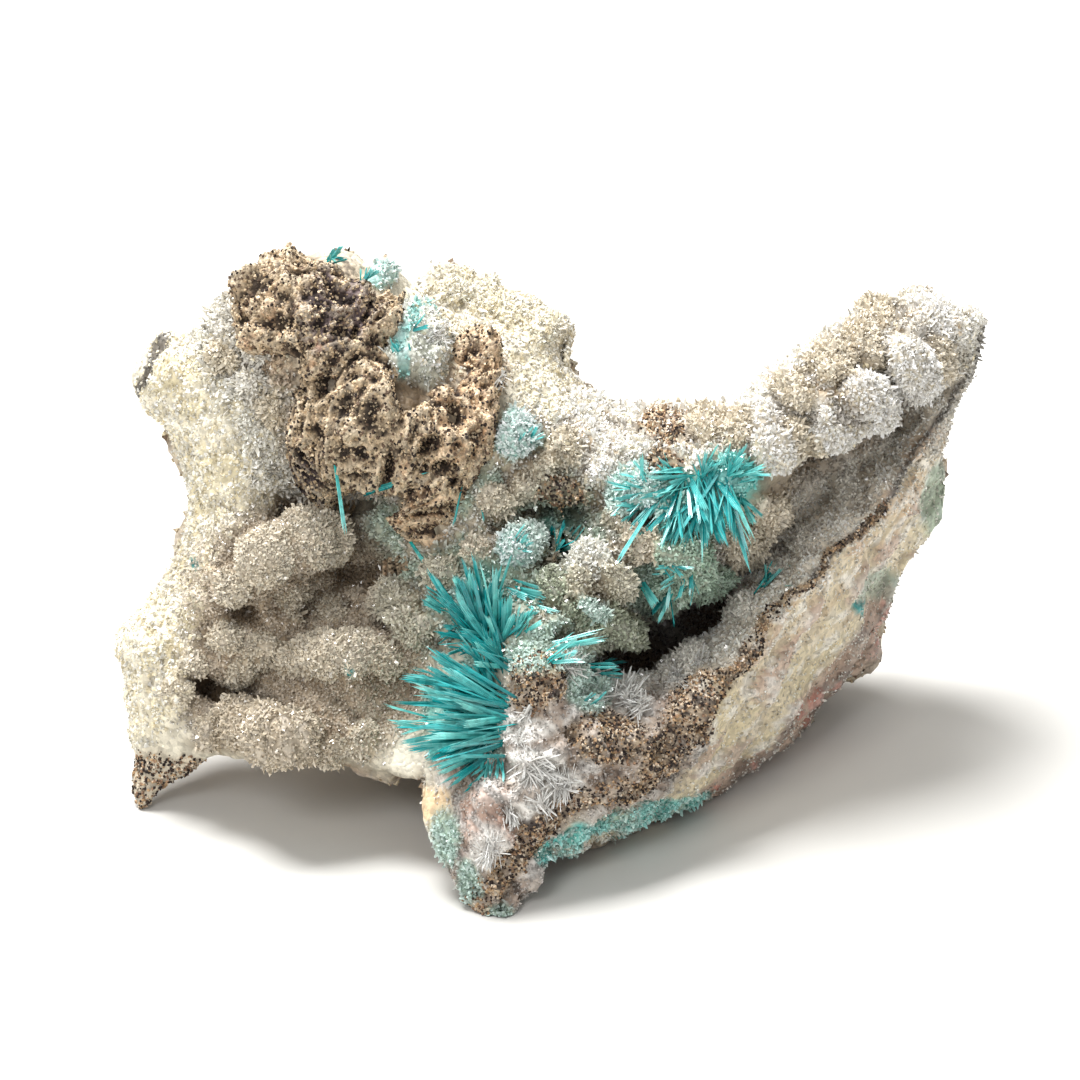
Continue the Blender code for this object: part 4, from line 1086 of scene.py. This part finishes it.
blades("spray_lower", ["needle_spray_lower"], (
    (496, 700, 416, 662, 9, 20, 0.65, 0.25, 2.4), (498, 708, 408, 696, 10, 22, 0.65, 0.3, 2.8),
    (498, 720, 404, 722, 10, 24, 0.65, 0.35, 3.0), (496, 732, 412, 748, 10, 24, 0.65, 0.3, 2.6),
    (490, 746, 436, 774, 12, 18, 0.6, 0.25, 2.2), (494, 690, 452, 646, 16, 16, 0.55, 0.3, 2.0),
    (436, 722, 384, 728, 14, 8, 0.35, 0.95, 1.2), (476, 712, 440, 706, 34, 30, 0.55, 0.12, 2.4),
    (484, 738, 450, 750, 28, 24, 0.55, 0.12, 2.0), (496, 752, 478, 778, 20, 12, 0.45, 0.5, 1.4),
    (478, 690, 462, 668, 40, 20, 0.5, 0.15, 1.8), (450, 736, 428, 758, 26, 12, 0.5, 0.5, 1.6),
), 202)
blades("spray_right", ["needle_spray_right"], (
    (676, 486, 618, 560, 6, 10, 0.6, 0.45, 2.4), (676, 490, 664, 552, 10, 14, 0.6, 0.7, 3.0),
    (692, 480, 706, 544, 12, 20, 0.6, 0.35, 3.2), (716, 472, 740, 568, 9, 20, 0.6, 0.3, 2.8),
    (710, 474, 692, 562, 12, 18, 0.55, 0.3, 2.4), (728, 478, 752, 452, 34, 30, 0.34, 0.5, 1.8),
    (690, 478, 640, 500, 20, 14, 0.5, 0.6, 2.2), (700, 500, 672, 544, 30, 20, 0.5, 0.2, 2.2),
    (704, 478, 730, 452, 30, 18, 0.32, 0.6, 1.4), (740, 500, 758, 530, 20, 12, 0.35, 0.6, 1.4),
    (648, 490, 612, 478, 26, 14, 0.35, 0.85, 1.2), (640, 505, 612, 520, 20, 10, 0.35, 0.8, 1.4),
    (672, 478, 650, 462, 28, 10, 0.32, 0.75, 1.0),
), 203)
blades("spray_low_right", [], (
    (676, 574, 648, 582, 14, 7, 0.4, 0.3, 0.8), (668, 590, 652, 622, 16, 8, 0.4, 0.35, 1.0),
    (640, 580, 656, 606, 6, 4, 0.45, 1.0, 1.2), (690, 574, 684, 606, 18, 7, 0.35, 0.4, 0.8),
    (668, 566, 694, 580, 20, 6, 0.35, 0.3, 0.8), (762, 584, 790, 564, 24, 12, 0.3, 0.4, 1.0),
    (556, 548, 568, 524, 24, 14, 0.35, 0.1, 1.0), (570, 546, 588, 530, 24, 8, 0.3, 0.3, 0.8),
    (512, 552, 530, 534, 40, 12, 0.25, 0.6, 0.8), (330, 262, 346, 250, 26, 12, 0.35, 0.55, 0.8),
    (364, 282, 378, 268, 26, 8, 0.35, 0.5, 0.6), (408, 366, 398, 328, 12, 7, 0.4, 0.5, 0.6),
    (410, 330, 430, 322, 18, 6, 0.35, 0.4, 0.6), (524, 446, 540, 428, 24, 8, 0.3, 0.7, 0.6),
), 204)
blades("spray_middle", ["needle_spray_middle"], (
    (514, 652, 606, 638, 3, 7, 0.5, 0.95, 2.0), (548, 660, 584, 644, 16, 10, 0.4, 0.9, 1.6),
    (592, 666, 626, 664, 7, 9, 0.4, 0.4, 0.8), (600, 672, 624, 674, 9, 6, 0.35, 0.3, 0.5),
), 205)
blades("fan_under_gossan", ["needle_fan_under_gossan"], ((366, 497, 430, 479, 2.5, 6, 0.5, 0.45, 1.2),), 206)
blades("single_needles", [], (
    (337, 466, 347, 536, 0.5, 1, 0.55, 0.8, 1.0), (462, 488, 452, 530, 1, 1, 0.4, 0.6, 1.0),
    (481, 505, 484, 522, 1, 1, 0.35, 0.5, 0.8), (410, 542, 436, 580, 1, 2, 0.4, 0.8, 1.0),
    (470, 700, 466, 676, 8, 2, 0.3, 0.4, 1.0), (588, 704, 602, 690, 8, 4, 0.3, 0.4, 0.6),
), 207)

# White fans: picture place, radius in pixels, how many blades, and how steeply they stand.
WHITE_FANS = (
    (536, 766, 24, 110, 0.2), (562, 784, 22, 90, 0.15), (544, 806, 18, 60, 0.15), (490, 848, 20, 80, 0.15),
    (512, 812, 14, 50, 0.2), (626, 694, 24, 110, 0.6), (640, 706, 16, 60, 0.5), (600, 668, 16, 40, 0.6),
    (570, 664, 18, 60, 0.5), (676, 676, 15, 50, 0.7), (700, 660, 12, 40, 0.7), (354, 498, 11, 12, 0.5),
    (440, 336, 18, 36, 0.9), (500, 380, 13, 26, 0.9), (520, 736, 14, 40, 0.3), (526, 712, 12, 40, 0.3),
)


def white_fans():
    """Clear and white blades lying out from their middles in seven clumps, raised by the row's steepness."""
    rng = np.random.default_rng(401)
    roots, tips = [], []
    for x, y, radius, count, steep in WHITE_FANS:
        middle = np.array(spot(x, y))
        turn = rng.uniform(0, 2 * math.pi, 7)[rng.integers(0, 7, count)] + 0.18 * rng.normal(size=count)
        ways = np.stack([np.cos(turn), np.sin(turn), steep * rng.uniform(0.2, 1.6, count)], -1)
        seat = middle + 0.22 * radius * PIXEL * rng.normal(size=(count, 2))
        root = np.column_stack([seat, depth_at(seat) + 0.15])
        tip = root + unit(ways) * (radius * PIXEL * rng.uniform(0.45, 1.1, count))[:, None]
        tip[:, 2] = np.maximum(tip[:, 2], depth_at(tip[:, :2]) + 0.1)
        roots.append(root)
        tips.append(tip)
    roots, tips = np.concatenate(roots), np.concatenate(tips)
    count = len(roots)
    side, _ = frames_of(unit(tips - roots), rng)
    shade = rng.uniform(0.82, 1.0, (count, 1))
    widths = rng.uniform(0.08, 0.2, count)
    at_root, at_tip = linear(214, 210, 204) * shade, linear(246, 246, 242) * shade
    bars("white_fans", roots, tips, widths, side, 0.4, at_root, at_tip, druse_finish)


white_fans()


# Floor, light and camera


def plain_floor():
    """A wide level sheet just under the specimen."""
    mesh = bpy.data.meshes.new("floor")
    mesh.from_pydata([(-4, -4, 0), (4, -4, 0), (4, 4, 0), (-4, 4, 0)], [], [(0, 1, 2, 3)])
    material = bpy.data.materials.new("pale_floor")
    material.use_nodes = True
    shader = material.node_tree.nodes["Principled BSDF"]
    shader.inputs["Base Color"].default_value = (0.66, 0.65, 0.62, 1)
    shader.inputs["Roughness"].default_value = 0.6
    mesh.materials.append(material)
    floor = bpy.data.objects.new("floor", mesh)
    bpy.context.scene.collection.objects.link(floor)
    floor.location = (0, 0, -0.0001)


def soft_light(name, place, target, size, power):
    """A square lamp facing its target."""
    lamp = bpy.data.lights.new(name, "AREA")
    lamp.size, lamp.energy = size, power
    light = bpy.data.objects.new(name, lamp)
    bpy.context.scene.collection.objects.link(light)
    light.location = place
    light.rotation_euler = (Vector(target) - Vector(place)).to_track_quat("-Z", "Y").to_euler()


plain_floor()
soft_light("overhead", (-0.2, 0.25, 0.8), (0, 0, 0.02), 0.45, 16.0)
soft_light("front_fill", (-0.5, -1.0, 0.9), (0, 0, 0.02), 0.5, 7.0)
world = bpy.data.worlds.new("studio")
world.use_nodes = True
world.node_tree.nodes["Background"].inputs["Color"].default_value = (1, 1, 1, 1)
world.node_tree.nodes["Background"].inputs["Strength"].default_value = 0.48
bpy.context.scene.world = world
bpy.context.scene.view_settings.view_transform = "Standard"

CAMERA_AWAY = 1.5
FRAME_WIDTH = 1080 * PIXEL * MM
looked_at = Vector(turned((-1.41, 32.7, -15.0)))
towards = Vector((0.0, -math.cos(FACE_LEAN), math.sin(FACE_LEAN)))
lens = bpy.data.cameras.new("photo_camera")
lens.sensor_width = 36.0
lens.lens = 36.0 * CAMERA_AWAY / FRAME_WIDTH
camera = bpy.data.objects.new("photo_camera", lens)
bpy.context.scene.collection.objects.link(camera)
camera.location = looked_at + towards * CAMERA_AWAY
camera.rotation_euler = (-towards).to_track_quat("-Z", "Y").to_euler()
bpy.context.scene.camera = camera
